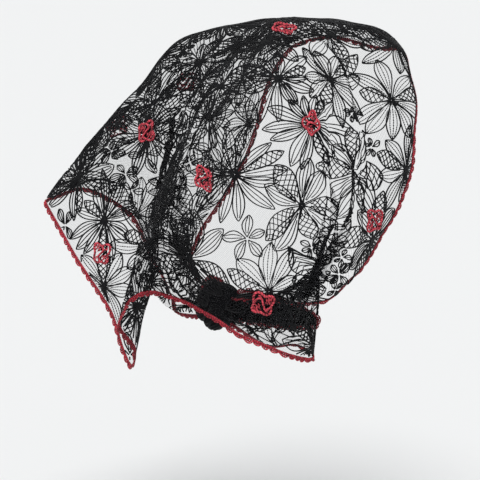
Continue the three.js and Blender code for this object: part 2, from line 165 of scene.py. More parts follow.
def smooth_step(low: float, high: float, value: np.ndarray) -> np.ndarray:
    """A rise from 0 at low to 1 at high with level ends.

    Args:
        low: where the rise starts.
        high: where it ends.
        value: the places to work it out at.

    Returns:
        The height of the rise at each place.
    """
    share = np.clip((value - low) / (high - low), 0.0, 1.0)
    return share * share * (3.0 - 2.0 * share)


def unit(vectors: np.ndarray) -> np.ndarray:
    """The vectors at length 1.

    Args:
        vectors: an array whose last axis is x, y, z.

    Returns:
        The same directions, each of length 1.
    """
    return vectors / np.maximum(np.linalg.norm(vectors, axis=-1, keepdims=True), LEAST_LENGTH)


def walked_along(points: np.ndarray) -> np.ndarray:
    """The length of a line up to each of its points.

    Args:
        points: the points of the line, in order.

    Returns:
        The lengths, from 0 at the first point.
    """
    return np.concatenate([[0.0], np.cumsum(np.linalg.norm(np.diff(points, axis=0), axis=1))])


def turned(along: np.ndarray, aside: np.ndarray, angle: float) -> np.ndarray:
    """Points of a drawing given along and aside of a direction.

    Args:
        along: how far along it they are.
        aside: how far to its left.
        angle: the direction, in radians.

    Returns:
        (x, y) of each point.
    """
    return np.stack([
        along * math.cos(angle) - aside * math.sin(angle),
        along * math.sin(angle) + aside * math.cos(angle),
    ], -1)


def between(
    grid: np.ndarray,
    rows: tuple[np.ndarray, np.ndarray],
    columns: tuple[np.ndarray, np.ndarray],
    u: np.ndarray,
    v: np.ndarray,
) -> np.ndarray:
    """Values of a grid at places between its points.

    Args:
        grid: rows by columns by any values.
        rows: the row before each place, and the row after it.
        columns: the column before each place, and the column after it.
        u: how far each place is from the one row to the other, from 0 to 1.
        v: how far it is from the one column to the other.

    Returns:
        The value at each place.
    """
    u, v = u[..., None], v[..., None]
    near, far = (grid[row, columns[0]] * (1.0 - v) + grid[row, columns[1]] * v for row in rows)
    return near * (1.0 - u) + far * u


@dataclass(frozen=True)
class Cut:
    """The flat triangle of cloth, in metres."""

    depth: float = 0.396
    half_width: float = 0.560
    crown_to_front: float = 0.095
    crown_to_knot: float = 0.335

    def reach(self, turn: np.ndarray) -> np.ndarray:
        """How far the cut reaches from the crown, up to its edges and to the knot.

        Args:
            turn: directions in degrees, 0 at the middle of the front and 90 at the right.

        Returns:
            The distance to the edge in each direction.
        """
        side = np.abs(np.sin(np.radians(turn)))
        ahead = np.cos(np.radians(turn))
        with np.errstate(divide="ignore", invalid="ignore"):
            hem = (1.0 - self.crown_to_front / self.depth) / (side / self.half_width - ahead / self.depth)
            front = self.crown_to_front / ahead
            knot = self.crown_to_knot / side
        ways = [np.where(way > 0.0, way, np.inf) for way in (hem, front, knot)]
        return np.minimum.reduce(ways)

    def outward(self, turn: np.ndarray) -> np.ndarray:
        """The way out of the cut across its edge.

        Args:
            turn: directions in degrees from the crown.

        Returns:
            A flat unit vector (s, t) for each direction.
        """
        slope = np.sign(HALF_TURN - turn % FULL_TURN) * self.depth / self.half_width
        hem = np.stack([slope, np.ones_like(slope)], -1) / np.hypot(slope, 1.0)[..., None]
        front = np.broadcast_to([0.0, -1.0], hem.shape)
        return np.where(np.cos(np.radians(turn))[..., None] > 0.0, front, hem)

    def covered_area(self) -> float:
        """The flat area of the cloth between the two places where the knot takes hold."""
        knot_depth = self.depth * (1.0 - self.crown_to_knot / self.half_width)
        return (self.depth + knot_depth) * self.crown_to_knot


@dataclass(frozen=True)
class Pleats:
    """The gathers that run down each side into the knot and take up the cloth's width there."""

    start: float = 62.0
    end: float = 117.0
    count: int = 6
    height: float = 0.0050
    swell: tuple[float, float] = (0.34, 0.76)
    fade_in: float = 0.22
    fade_out: float = 0.80
    knot_start: float = 0.85
    knot_share: float = 0.45
    drift: float = 0.9
    drift_across: float = 5.0
    drift_down: float = 3.0

    def lift(self, turn: np.ndarray, share: np.ndarray) -> np.ndarray:
        """How far the gathers stand out of the cloth.

        Args:
            turn: directions in degrees from the crown.
            share: shares of the way down the rib.

        Returns:
            The lift at each place, in metres.
        """
        side = np.minimum(turn % FULL_TURN, FULL_TURN - turn % FULL_TURN)
        across = (side - self.start) / (self.end - self.start)
        window = smooth_step(0.0, self.fade_in, across) * (1.0 - smooth_step(self.fade_out, 1.0, across))
        drawn_in = self.knot_share * smooth_step(self.knot_start, 1.0, share)
        down = smooth_step(*self.swell, share) * (1.0 - drawn_in)
        drift = self.drift * np.sin(self.drift_across * across + self.drift_down * share)
        wave = np.sin(math.tau * self.count * across + drift)
        return self.height * window * down * wave


@dataclass(frozen=True)
class Wrinkles:
    """Soft uneven waves all over the cloth."""

    height: float = 0.00045
    calm_radius: float = 0.09
    # Columns: waves a metre along s, waves a metre along t, phase.
    waves: tuple[tuple[float, float, float], ...] = (
        (17.0, 6.0, 0.3), (-9.0, 15.0, 1.7), (23.0, -13.0, 4.1), (5.0, 26.0, 2.6),
    )

    def lift(self, s: np.ndarray, t: np.ndarray) -> np.ndarray:
        """How far the waves stand out of the cloth.

        Args:
            s: places across the flat cut.
            t: places along the flat cut.

        Returns:
            The lift at each place, in metres.
        """
        total = sum(np.sin(math.tau * (a * s + b * t) + phase) for a, b, phase in self.waves)
        return self.height * total * smooth_step(0.0, self.calm_radius, np.hypot(s, t))


class Drape:
    """The worn surface of the cloth as a fine grid, and the way from the flat cut to it."""

    ROWS = 96
    WIDEST_STEP = 0.9
    LONGEST_STEP = 0.0042
    RIB_STEPS = 36
    CLOTH_LIFT = 0.0006
    # The columns of the table of ribs.
    LEAD = 1
    MIDDLE = (2, 3, 4)
    EDGE = (5, 6, 7)

    def __init__(self, cut: Cut, pleats: Pleats, wrinkles: Wrinkles) -> None:
        """Works out the grid.

        Args:
            cut: the flat triangle.
            pleats: the gathers at the sides.
            wrinkles: the soft waves of the whole cloth.
        """
        self.cut = cut
        mirrored = [
            (FULL_TURN - turn, lead, -mid_x, mid_y, mid_z, -edge_x, edge_y, edge_z)
            for turn, lead, mid_x, mid_y, mid_z, edge_x, edge_y, edge_z in RIGHT_RIBS[:0:-1]
        ]
        self.ribs = np.array([*RIGHT_RIBS, *RIGHT_BACK_RIBS, *LEFT_BACK_RIBS, *mirrored])
        self.ribs[:, 1:] *= MM
        self.turns = self._column_turns()
        self.shares = np.linspace(0.0, 1.0, self.ROWS + 1)
        turn, share = np.meshgrid(self.turns, self.shares, indexing="ij")
        self.flat = self._flat_of(turn, share)
        smooth = self._draped(turn, share)
        outward = self._normals_of(smooth)
        s, t = self.flat[..., 0], self.flat[..., 1]
        broad = (self._fold_lift(s, t) + self.CLOTH_LIFT)[..., None]
        fine = (pleats.lift(turn, share) + wrinkles.lift(s, t))[..., None]
        self.broad = smooth + outward * broad
        self.points = self.broad + outward * fine
        self.points[:, 0] = self.points[:, 0].mean(axis=0)
        self.normals = self._normals_of(self.points)

    def _ring_curve(self, column: int, turn: np.ndarray) -> np.ndarray:
        """One column of the ribs as a smooth curve round the crown that never overshoots a rib.

        Args:
            column: the column of the table of ribs.
            turn: directions in degrees.

        Returns:
            The column's value in each direction.
        """
        around = self.ribs[:, 0]
        place = np.concatenate([around - FULL_TURN, around, around + FULL_TURN])
        value = np.tile(self.ribs[:, column], 3)
        width = np.diff(place)
        slope = np.diff(value) / width
        before, after = slope[:-1], slope[1:]
        weight_before, weight_after = 2 * width[1:] + width[:-1], width[1:] + 2 * width[:-1]
        with np.errstate(divide="ignore", invalid="ignore"):
            mean = (weight_before + weight_after) / (weight_before / before + weight_after / after)
        bend = np.zeros_like(value)
        bend[1:-1] = np.where(before * after > 0.0, mean, 0.0)
        at = turn % FULL_TURN
        k = np.searchsorted(place, at, side="right") - 1
        u = (at - place[k]) / width[k]
        rise = u * u * (3.0 - 2.0 * u)
        bulge = u * (1.0 - u) ** 2 * width[k] * bend[k] + u * u * (u - 1.0) * width[k] * bend[k + 1]
        return value[k] * (1.0 - rise) + value[k + 1] * rise + bulge

    def _draped(self, turn: np.ndarray, share: np.ndarray) -> np.ndarray:
        """Places on the worn surface before its folds.

        Args:
            turn: directions in degrees.
            share: shares of the way down each rib.

        Returns:
            Points in the frame, in metres.
        """
        angle = np.radians(turn)
        lead = self._ring_curve(self.LEAD, turn)
        first = np.stack([-lead * np.sin(angle), -lead * np.cos(angle), np.zeros_like(lead)], -1)
        middle = np.stack([self._ring_curve(column, turn) for column in self.MIDDLE], -1)
        last = np.stack([self._ring_curve(column, turn) for column in self.EDGE], -1)

        def bezier(u: np.ndarray) -> np.ndarray:
            """The curve that leaves the crown along first and ends at last, at each u."""
            u = u[..., None]
            return 3 * (1 - u) ** 2 * u * first + 3 * (1 - u) * u * u * middle + u**3 * last

        steps = np.linspace(0.0, 1.0, self.RIB_STEPS + 1)
        walked = np.zeros((self.RIB_STEPS + 1, *turn.shape))
        before = bezier(np.zeros_like(turn))
        for k, u in enumerate(steps[1:], start=1):
            here = bezier(np.full_like(turn, u))
            walked[k] = walked[k - 1] + np.linalg.norm(here - before, axis=-1)
            before = here
        wanted = share * walked[-1]
        k = np.clip((walked <= wanted).sum(axis=0) - 1, 0, self.RIB_STEPS - 1)
        low = np.take_along_axis(walked, k[None], 0)[0]
        high = np.take_along_axis(walked, k[None] + 1, 0)[0]
        return bezier((k + (wanted - low) / (high - low)) / self.RIB_STEPS)

    def _column_turns(self) -> np.ndarray:
        """The grid's columns: every rib, and even steps between ribs that stand far apart.

        Returns:
            The turn of each column, in degrees.
        """
        around = np.append(self.ribs[:, 0], FULL_TURN)
        edge = self.ribs[:, self.EDGE]
        gap = np.linalg.norm(np.roll(edge, -1, axis=0) - edge, axis=1)
        counts = np.ceil(np.maximum(np.diff(around) / self.WIDEST_STEP, gap / self.LONGEST_STEP)).astype(int)
        parts = [
            np.linspace(low, high, count, endpoint=False)
            for low, high, count in zip(around[:-1], around[1:], counts)
        ]
        return np.concatenate(parts)

    def _flat_of(self, turn: np.ndarray, share: np.ndarray) -> np.ndarray:
        """Places on the flat cut.

        Args:
            turn: directions in degrees.
            share: shares of the way to the edge.

        Returns:
            (s, t) of each place, in metres.
        """
        reach = share * self.cut.reach(turn)
        angle = np.radians(turn)
        return np.stack([reach * np.sin(angle), -reach * np.cos(angle)], -1)

    @staticmethod
    def _fold_lift(s: np.ndarray, t: np.ndarray) -> np.ndarray:
        """How far the pressed folds and the broad swells lift the cloth.

        Args:
            s: places across the flat cut.
            t: places along the flat cut.

        Returns:
            The lift at each place, in metres.
        """
        left = [(-a, b, -c, d, height, reach) for a, b, c, d, height, reach in RIGHT_FOLDS[:-1]]
        total = np.zeros_like(s)
        for row in (*RIGHT_FOLDS, *left):
            from_s, from_t, to_s, to_t, height, reach = (size * MM for size in row)
            run_s, run_t = to_s - from_s, to_t - from_t
            along = ((s - from_s) * run_s + (t - from_t) * run_t) / (run_s**2 + run_t**2)
            near = np.clip(along, 0.0, 1.0)
            away = np.hypot(s - from_s - near * run_s, t - from_t - near * run_t) / reach
            total += height * smooth_step(FOLD_START, FOLD_FULL, along) * np.exp(-away * away)
        for row in SWELLS:
            at_s, at_t, height, reach = (size * MM for size in row)
            total += height * np.exp(-((s - at_s) ** 2 + (t - at_t) ** 2) / reach**2)
        return total

    @staticmethod
    def _normals_of(points: np.ndarray) -> np.ndarray:
        """The way out of a grid of points at each of them.

        Args:
            points: the grid, columns by rows by x, y, z.

        Returns:
            A unit vector at each point.
        """
        across = np.roll(points, -1, axis=0) - np.roll(points, 1, axis=0)
        down = np.gradient(points, axis=1)
        normals = unit(np.cross(across, down))
        normals[:, 0] = unit(normals[:, 1].mean(axis=0))
        return normals

    def locate(self, flat: np.ndarray) -> tuple[np.ndarray, np.ndarray]:
        """The direction and share of the rib of places on the flat cut.

        Args:
            flat: (s, t) of each place.

        Returns:
            The turns in degrees, and the shares, which pass 1 beyond the edge.
        """
        turn = np.degrees(np.arctan2(flat[..., 0], -flat[..., 1])) % FULL_TURN
        return turn, np.hypot(flat[..., 0], flat[..., 1]) / self.cut.reach(turn)

    def sample(self, grid: np.ndarray, flat: np.ndarray) -> np.ndarray:
        """Values of a grid at places on the flat cut.

        Args:
            grid: columns by rows by any values.
            flat: (s, t) of each place.

        Returns:
            The values, carried on straight beyond the edge.
        """
        turn, share = self.locate(flat)
        i = np.searchsorted(self.turns, turn, side="right") - 1
        after = (i + 1) % len(self.turns)
        width = np.where(after == 0, FULL_TURN, self.turns[after]) - self.turns[i]
        row = share * self.ROWS
        j = np.clip(np.floor(row).astype(int), 0, self.ROWS - 1)
        return between(grid, (i, after), (j, j + 1), (turn - self.turns[i]) / width, row - j)

    def place(self, flat: np.ndarray, lift: np.ndarray | float) -> tuple[np.ndarray, np.ndarray]:
        """Places of the flat cut on the worn cloth.

        Args:
            flat: (s, t) of each place.
            lift: how far each stands out of the cloth.

        Returns:
            The points, and the way out of the cloth at each.
        """
        normals = unit(self.sample(self.normals, flat))
        return self.sample(self.points, flat) + normals * np.asarray(lift)[..., None], normals

    def inside(self, flat: np.ndarray, margin: float) -> np.ndarray:
        """Whether places lie on the cloth, clear of its edges and of the knot.

        Args:
            flat: (s, t) of each place.
            margin: how far inside the edges, on the flat cut.

        Returns:
            True where they do.
        """
        turn, share = self.locate(flat)
        return (1.0 - share) * self.cut.reach(turn) > margin


class PolarPatch:
    """True polar coordinates on the worn cloth round one place, so that a drawing there keeps its shape."""

    RAYS = 72
    STEP = 0.002
    PROBE = 0.0015
    LEAST_AREA = 0.05
    # How far a place stays below the number of rings, so that there is a ring after it.
    RING_MARGIN = 1.001

    def __init__(self, drape: Drape, centre: Sequence[float], radius: float, turn: float = 0.0) -> None:
        """Walks straight rays out from the place over the cloth.

        Args:
            drape: the worn cloth.
            centre: (s, t) of the place.
            radius: how far the rays go.
            turn: how far the drawing is turned, in degrees.
        """
        self.drape = drape
        self.turn = math.radians(turn)
        angles = np.linspace(0.0, math.tau, self.RAYS, endpoint=False)
        flat = np.tile(np.asarray(centre, float), (self.RAYS, 1))
        along_s, along_t = self._slopes(flat[:1])
        east = unit(along_s[0])
        north = unit(np.cross(np.cross(along_s[0], along_t[0]), east))
        heading = np.cos(angles)[:, None] * east + np.sin(angles)[:, None] * north
        rings = [flat]
        for _ in range(math.ceil(radius / self.STEP)):
            along_s, along_t = self._slopes(flat)
            ss = (along_s * along_s).sum(-1)
            st = (along_s * along_t).sum(-1)
            tt = (along_t * along_t).sum(-1)
            area = np.maximum(ss * tt - st * st, self.LEAST_AREA**2)
            on_s = (heading * along_s).sum(-1)
            on_t = (heading * along_t).sum(-1)
            step = np.stack([tt * on_s - st * on_t, ss * on_t - st * on_s], -1) / area[:, None]
            flat = flat + self.STEP * step
            normal = unit(np.cross(along_s, along_t))
            heading = unit(heading - (heading * normal).sum(-1, keepdims=True) * normal)
            rings.append(flat)
        self.rings = np.array(rings)

    def _slopes(self, flat: np.ndarray) -> tuple[np.ndarray, np.ndarray]:
        """How the worn surface runs along s and along t.

        Args:
            flat: (s, t) of each place.

        Returns:
            The two slopes at each place, in metres for each metre of the flat cut.
        """
        step_s, step_t = np.array([self.PROBE, 0.0]), np.array([0.0, self.PROBE])
        grid = self.drape.broad
        along_s = self.drape.sample(grid, flat + step_s) - self.drape.sample(grid, flat - step_s)
        along_t = self.drape.sample(grid, flat + step_t) - self.drape.sample(grid, flat - step_t)
        return along_s / (2.0 * self.PROBE), along_t / (2.0 * self.PROBE)

    def flat(self, drawn: np.ndarray) -> np.ndarray:
        """Takes a drawing round the place to the flat cut.

        Args:
            drawn: (x, y) of each point of the drawing, in metres of true size.

        Returns:
            (s, t) of each point.
        """
        outermost = len(self.rings) - self.RING_MARGIN
        ring = np.minimum(np.hypot(drawn[..., 0], drawn[..., 1]) / self.STEP, outermost)
        ray = (np.arctan2(drawn[..., 1], drawn[..., 0]) + self.turn) % math.tau
        ray = ray * self.RAYS / math.tau
        i, j = ring.astype(int), ray.astype(int) % self.RAYS
        return between(self.rings, (i, i + 1), (j, (j + 1) % self.RAYS), ring - i, ray - np.floor(ray))


class Cords:
    """Cords of one finish, gathered line by line and made into one mesh of tubes."""

    def __init__(self, sides: int) -> None:
        """Starts with no cords.

        Args:
            sides: how many sides each tube has.
        """
        self.sides = sides
        self._lines: list[tuple[np.ndarray, np.ndarray, np.ndarray]] = []

    def add(self, points: np.ndarray, normals: np.ndarray, radius: np.ndarray | float) -> None:
        """Adds one cord.

        Args:
            points: the points of its centreline.
            normals: the way out of what it lies on, at each point.
            radius: its radius, the same all along or one for each point.
        """
        if len(points) > 1:
            self._lines.append((points, normals, np.broadcast_to(radius, len(points))))

    def build(self, name: str) -> bpy.types.Object:
        """Makes the mesh.

        Args:
            name: the name of the piece.

        Returns:
            The new object, with a UV layer of the length along a cord and the share of the way round it.
        """
        counts = np.array([len(points) for points, _, _ in self._lines])
        points, normals, radii = (np.concatenate(parts) for parts in zip(*self._lines))
        starts = np.concatenate([[0], np.cumsum(counts)[:-1]])
        line = np.repeat(np.arange(len(counts)), counts)
        order = np.arange(len(points))
        before = np.maximum(order - 1, starts[line])
        after = np.minimum(order + 1, (starts + counts - 1)[line])
        along = unit(points[after] - points[before])
        side = unit(np.cross(along, normals))
        up = np.cross(side, along)
        angle = math.tau * (np.arange(self.sides) + 0.5) / self.sides
        ring = np.cos(angle)[None, :, None] * side[:, None] + np.sin(angle)[None, :, None] * up[:, None]
        vertices = (points[:, None] + radii[:, None, None] * ring).reshape(-1, 3)

        walked = np.cumsum(np.linalg.norm(points - points[before], axis=1))
        here = order[order != (starts + counts - 1)[line]]
        corner = np.arange(self.sides)
        following = (corner + 1) % self.sides
        low, high = here[:, None] * self.sides, (here[:, None] + 1) * self.sides
        quads = np.stack([low + corner, high + corner, high + following, low + following], -1).reshape(-1, 4)
        around = corner / self.sides
        u = np.stack([walked[here], walked[here + 1], walked[here + 1], walked[here]], -1)
        v = np.stack([around, around, around + 1.0 / self.sides, around + 1.0 / self.sides], -1)
        shape = (len(here), self.sides, 4)
        uv = np.stack([np.broadcast_to(u[:, None], shape), np.broadcast_to(v[None], shape)], -1)
        first = starts[:, None] * self.sides + corner
        last = (starts + counts - 1)[:, None] * self.sides + corner[::-1]
        faces = quads.tolist() + first.tolist() + last.tolist()
        caps = np.zeros((2 * len(counts) * self.sides, 2))
        return mesh_object(name, vertices, faces, STRAND_LAYER, np.concatenate([uv.reshape(-1, 2), caps]))


def mesh_object(
    name: str, vertices: np.ndarray, faces: list[list[int]], layer: str, uv: np.ndarray
) -> bpy.types.Object:
    """Makes a smooth mesh object in the scene.

    Args:
        name: its name.
        vertices: its points, in metres.
        faces: the corners of each face.
        layer: the name of its UV layer.
        uv: the UV place of each face corner, in order.

    Returns:
        The new object.
    """
    mesh = bpy.data.meshes.new(name)
    mesh.from_pydata(vertices.tolist(), [], faces)
    mesh.uv_layers.new(name=layer).data.foreach_set("uv", uv.astype(np.float32).ravel())
    mesh.shade_smooth()
    piece = bpy.data.objects.new(name, mesh)
    bpy.context.scene.collection.objects.link(piece)
    return piece


def triangle_count(piece: bpy.types.Object) -> int:
    """How many triangles a mesh piece has."""
    return sum(len(face.vertices) - 2 for face in piece.data.polygons)


class Value:
    """A number that a finish works out at each place: an operator on it adds a Math node."""

    def __init__(self, recipe: "Recipe", socket: bpy.types.NodeSocket) -> None:
        """Wraps a socket.

        Args:
            recipe: the finish that it belongs to.
            socket: the output socket that gives the number.
        """
        self.recipe = recipe
        self.socket = socket

    def _maths(self, operation: str, *terms: "Value | float") -> "Value":
        """Adds one Math node on the terms, in order."""
        node = self.recipe.node("ShaderNodeMath", {"operation": operation}, dict(enumerate(terms)))
        return Value(self.recipe, node.outputs[0])

    def __add__(self, other: "Value | float") -> "Value":
        """The sum."""
        return self._maths("ADD", self, other)

    def __radd__(self, other: float) -> "Value":
        """The sum, with the number first."""
        return self._maths("ADD", other, self)

    def __sub__(self, other: "Value | float") -> "Value":
        """The difference."""
        return self._maths("SUBTRACT", self, other)

    def __rsub__(self, other: float) -> "Value":
        """The difference, with the number first."""
        return self._maths("SUBTRACT", other, self)

    def __mul__(self, other: "Value | float") -> "Value":
        """The product."""
        return self._maths("MULTIPLY", self, other)

    def __rmul__(self, other: float) -> "Value":
        """The product, with the number first."""
        return self._maths("MULTIPLY", other, self)

    def sine(self) -> "Value":
        """The sine of an angle in radians."""
        return self._maths("SINE", self)

    def rise(self, low: float, high: float) -> "Value":
        """A smooth rise from 0 to 1.

        Args:
            low: the number where the rise starts.
            high: the number where it ends.

        Returns:
            The height of the rise.
        """
        node = self.recipe.node(
            "ShaderNodeMapRange",
            {"interpolation_type": "SMOOTHSTEP"},
            {"Value": self, "From Min": low, "From Max": high},
        )
        return Value(self.recipe, node.outputs["Result"])


class Recipe:
    """The node tree of one finish, built a node at a time."""

    # The Mix node's sockets for colours.
    FIRST_COLOUR = 6
    SECOND_COLOUR = 7
    MIXED_COLOUR = 2

    def __init__(self, name: str) -> None:
        """Starts an empty material.

        Args:
            name: the material's name.
        """
        self.material = bpy.data.materials.new(name)
        self.material.use_nodes = True
        self.tree = self.material.node_tree
        self.tree.nodes.clear()

    def node(self, kind: str, settings: dict | None = None, inputs: dict | None = None) -> bpy.types.Node:
        """Adds a node.

        Args:
            kind: Blender's name for the type of node.
            settings: its properties, set first.
            inputs: values, links or colours by the name or number of the socket.

        Returns:
            The new node.
        """
        made = self.tree.nodes.new(kind)
        for name, setting in (settings or {}).items():
            setattr(made, name, setting)
        for key, given in (inputs or {}).items():
            socket = made.inputs[key]
            if isinstance(given, Value):
                self.tree.links.new(given.socket, socket)
            elif isinstance(given, bpy.types.NodeSocket):
                self.tree.links.new(given, socket)
            elif isinstance(given, tuple) and socket.type == "RGBA":
                socket.default_value = (*given, 1.0)
            else:
                socket.default_value = given
        return made

    def layer(self, name: str) -> tuple[Value, Value]:
        """The two coordinates of a UV layer.

        Args:
            name: the layer's name.

        Returns:
            Its u and its v.
        """
        place = self.node("ShaderNodeUVMap", {"uv_map": name})
        split = self.node("ShaderNodeSeparateXYZ", None, {0: place.outputs[0]})
        return Value(self, split.outputs["X"]), Value(self, split.outputs["Y"])

    def noise(self, scale: float, detail: float = 3.0) -> Value:
        """Soft noise over the piece, from 0 to 1.

        Args:
            scale: how many lumps there are to the metre.
            detail: how many finer layers it has.

        Returns:
            The noise.
        """
        place = self.node("ShaderNodeTexCoord")
        made = self.node(
            "ShaderNodeTexNoise", None, {"Vector": place.outputs["Object"], "Scale": scale, "Detail": detail}
        )
        return Value(self, made.outputs[0])

    def mix(self, share: Value, first: Colour, second: Colour) -> bpy.types.NodeSocket:
        """A colour between two.

        Args:
            share: how much there is of the second.
            first: the colour at 0.
            second: the colour at 1.

        Returns:
            The socket of the mixed colour.
        """
        colours = {self.FIRST_COLOUR: first, self.SECOND_COLOUR: second}
        node = self.node("ShaderNodeMix", {"data_type": "RGBA"}, {"Factor": share, **colours})
        return node.outputs[self.MIXED_COLOUR]

    def bump(self, height: Value, depth: float, strength: float) -> bpy.types.NodeSocket:
        """A bumpy normal.

        Args:
            height: the height, from 0 to 1.
            depth: how deep 1 is, in metres.
            strength: how strongly it shows.

        Returns:
            The socket of the normal.
        """
        node = self.node("ShaderNodeBump", None, {"Height": height, "Distance": depth, "Strength": strength})
        return node.outputs[0]

    def surface(self, inputs: dict) -> bpy.types.Material:
        """Ends the recipe in one shader.

        Args:
            inputs: what goes into the shader's sockets.

        Returns:
            The finished material.
        """
        shader = self.node("ShaderNodeBsdfPrincipled", None, inputs)
        self.node("ShaderNodeOutputMaterial", None, {"Surface": shader.outputs[0]})
        return self.material


def twist_ridges(along: Value, around: Value, pitch: float, strands: int) -> Value:
    """The ridges of strands twisted into a cord.

    Args:
        along: the length along the cord.
        around: the share of the way round it.
        pitch: how far the strands run in one turn.
        strands: how many strands there are.

    Returns:
        The height of the ridges, from 0 to 1.
    """
    return (along * (math.tau / pitch) + around * (strands * math.tau)).sine() * 0.5 + 0.5


@dataclass(frozen=True)
class TulleFinish:
    """Sheer black tulle: a net of fine threads round six-sided holes."""

    colour: Colour = (0.012, 0.012, 0.015)
    pitch: float = 0.0009
    hole: tuple[float, float] = (-1.1, -0.8)
    thread_alpha: float = 0.55
    roughness: float = 0.6
    gloss: float = 0.25
    sheen: float = 0.15

    def material(self) -> bpy.types.Material:
        """Builds the net as the alpha of a dark cloth, on the flat cut's own coordinates.

        Returns:
            The finished material.
        """
        recipe = Recipe("black_tulle")
        s, t = recipe.layer(CUT_LAYER)
        waves = math.tau / self.pitch
        quarter = math.pi / 2.0
        # Three waves, each a third of a turn from the next, leave six-sided holes.
        cosine, sine = 0.5, math.sqrt(0.75)
        total = (s * waves + quarter).sine()
        for side in (-1.0, 1.0):
            slanted = s * (-cosine * waves) + t * (side * sine * waves) + quarter
            total = total + slanted.sine()
        net = 1.0 - total.rise(*self.hole)
        return recipe.surface({
            "Base Color": self.colour,
            "Roughness": self.roughness,
            "Specular IOR Level": self.gloss,
            "Sheen Weight": self.sheen,
            "Alpha": net * self.thread_alpha,
        })


@dataclass(frozen=True)
class ThreadFinish:
    """Black embroidery cord with the low shine of rayon, twisted from two strands."""

    dark: Colour = (0.002, 0.002, 0.0025)
    light: Colour = (0.009, 0.0095, 0.0115)
    twist: float = 0.0016
    roughness: float = 0.5
    gloss: float = 0.14
    patch: float = 45.0
    strands: int = 2
    twist_depth: float = 0.00018
    twist_strength: float = 0.6

    def material(self) -> bpy.types.Material:
        """Builds the cord's colour and the ridges of its twist.

        Returns:
            The finished material.
        """
        recipe = Recipe("black_embroidery_cord")
        ridges = twist_ridges(*recipe.layer(STRAND_LAYER), self.twist, self.strands)
        return recipe.surface({
            "Base Color": recipe.mix(recipe.noise(self.patch), self.dark, self.light),
            "Roughness": self.roughness,
            "Specular IOR Level": self.gloss,
            "Normal": recipe.bump(ridges, self.twist_depth, self.twist_strength),
        })


@dataclass(frozen=True)
class CrochetFinish:
    """Red mercerised cotton, a little fuzzy: painted shade darkens the grooves between its strands and their
    undersides, and painted light brightens their upper sides.
    """

    name: str = "red_crochet_cotton"
    # The two reds below are the cotton's darker and lighter tones, which the material also uses as painted
    # shade and painted light.
    deep_tone_and_shade: Colour = (0.055, 0.0004, 0.003)
    bright_tone_and_light: Colour = (1.0, 0.10, 0.145)
    # The phase of a strand's upper side, where its painted light rises, and how bright the painted shade on
    # its underside leaves it.
    painted_light_crest: float = 0.6
    painted_shade_rise: tuple[float, float] = (-0.5, 0.75)
    shaded_underside_share: float = 0.55
    twist: float = 0.0026
    strands: int = 1
    # The share of the tone that follows the twist, as painted shade in its grooves.
    groove_shade_share: float = 0.6
    fuzz_share: float = 0.4
    fuzz_rise: tuple[float, float] = (0.3, 0.7)
    roughness: float = 0.5
    gloss: float = 0.3
    patch: float = 260.0
    twist_depth: float = 0.0003
    twist_strength: float = 0.8
    sheen: float = 0.07

    def material(self) -> bpy.types.Material:
        """Builds the cotton's colour, with painted light and shade on its strands, its twist and its fuzz.

        Returns:
            The finished material.
        """
        recipe = Recipe(self.name)
        along, around = recipe.layer(STRAND_LAYER)
        ridges = twist_ridges(along, around, self.twist, self.strands)
        fuzz = recipe.noise(self.patch)
        # Painted light on each strand's upper side and painted shade on its underside; with the twist's
        # painted groove shade and the fuzz's random tone, this sets the colour.
        painted_light_crest = (around * math.tau + self.painted_light_crest).sine().rise(*self.painted_shade_rise)
        painted_light = painted_light_crest * (1.0 - self.shaded_underside_share) + self.shaded_underside_share
        fuzz_tone_and_shade = (ridges * self.groove_shade_share + fuzz.rise(*self.fuzz_rise) * self.fuzz_share) * painted_light
        return recipe.surface({
            "Base Color": recipe.mix(fuzz_tone_and_shade, self.deep_tone_and_shade, self.bright_tone_and_light),
            "Roughness": self.roughness,
            "Specular IOR Level": self.gloss,
            "Sheen Weight": self.sheen,
            "Normal": recipe.bump(ridges + fuzz, self.twist_depth, self.twist_strength),
        })


@dataclass(frozen=True)
class BunchedLaceFinish:
    """Many layers of the lace pulled together: near black, with the cords showing as ridges."""

    # The lace's own black, and that black with painted light for the threads that lie on top.
    dark: Colour = (0.002, 0.002, 0.003)
    light: Colour = (0.010, 0.010, 0.012)
    pitch: float = 0.0009
    wander: float = 8.0
    wander_patch: float = 90.0
    # The size and rise of the random patches of painted light on the top threads.
    top_light_patch: float = 160.0
    top_light_rise: tuple[float, float] = (0.3, 0.7)
    roughness: float = 0.85
    gloss: float = 0.12
    depth: float = 0.0003
    strength: float = 0.6

    def material(self) -> bpy.types.Material:
        """Builds the net's crossed threads, with painted light on those that lie on top, in random patches.

        Returns:
            The finished material.
        """
        recipe = Recipe("bunched_black_lace")
        x, z = recipe.layer(STRAND_LAYER)
        waves = math.tau / self.pitch
        wander = recipe.noise(self.wander_patch) * self.wander
        weave = (x * waves + wander).sine() * (z * waves - wander).sine() * 0.5 + 0.5
        # Painted light on the threads that lie on top, in random patches.
        painted_top_light = weave * recipe.noise(self.top_light_patch).rise(*self.top_light_rise)
        return recipe.surface({
            "Base Color": recipe.mix(painted_top_light, self.dark, self.light),
            "Roughness": self.roughness,
            "Specular IOR Level": self.gloss,
            "Normal": recipe.bump(weave, self.depth, self.strength),
        })


class Slot(Enum):
    """The record's material slots."""

    LACE = "lace"
    CROCHET = "crochet"
    KNOT = "knot"


def dress(
    piece: bpy.types.Object, material: bpy.types.Material, nodes: Sequence[str] = ()
) -> bpy.types.Object:
    """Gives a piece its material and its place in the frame.

    Args:
        piece: the piece.
        material: its material.
        nodes: the nodes of the model that the piece stands for.

    Returns:
        The same piece.
    """
    piece.data.materials.append(material)
    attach(piece, BODY)
    if nodes:
        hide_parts(*nodes)
    log.info("%s: %d triangles", piece.name, triangle_count(piece))
    return piece


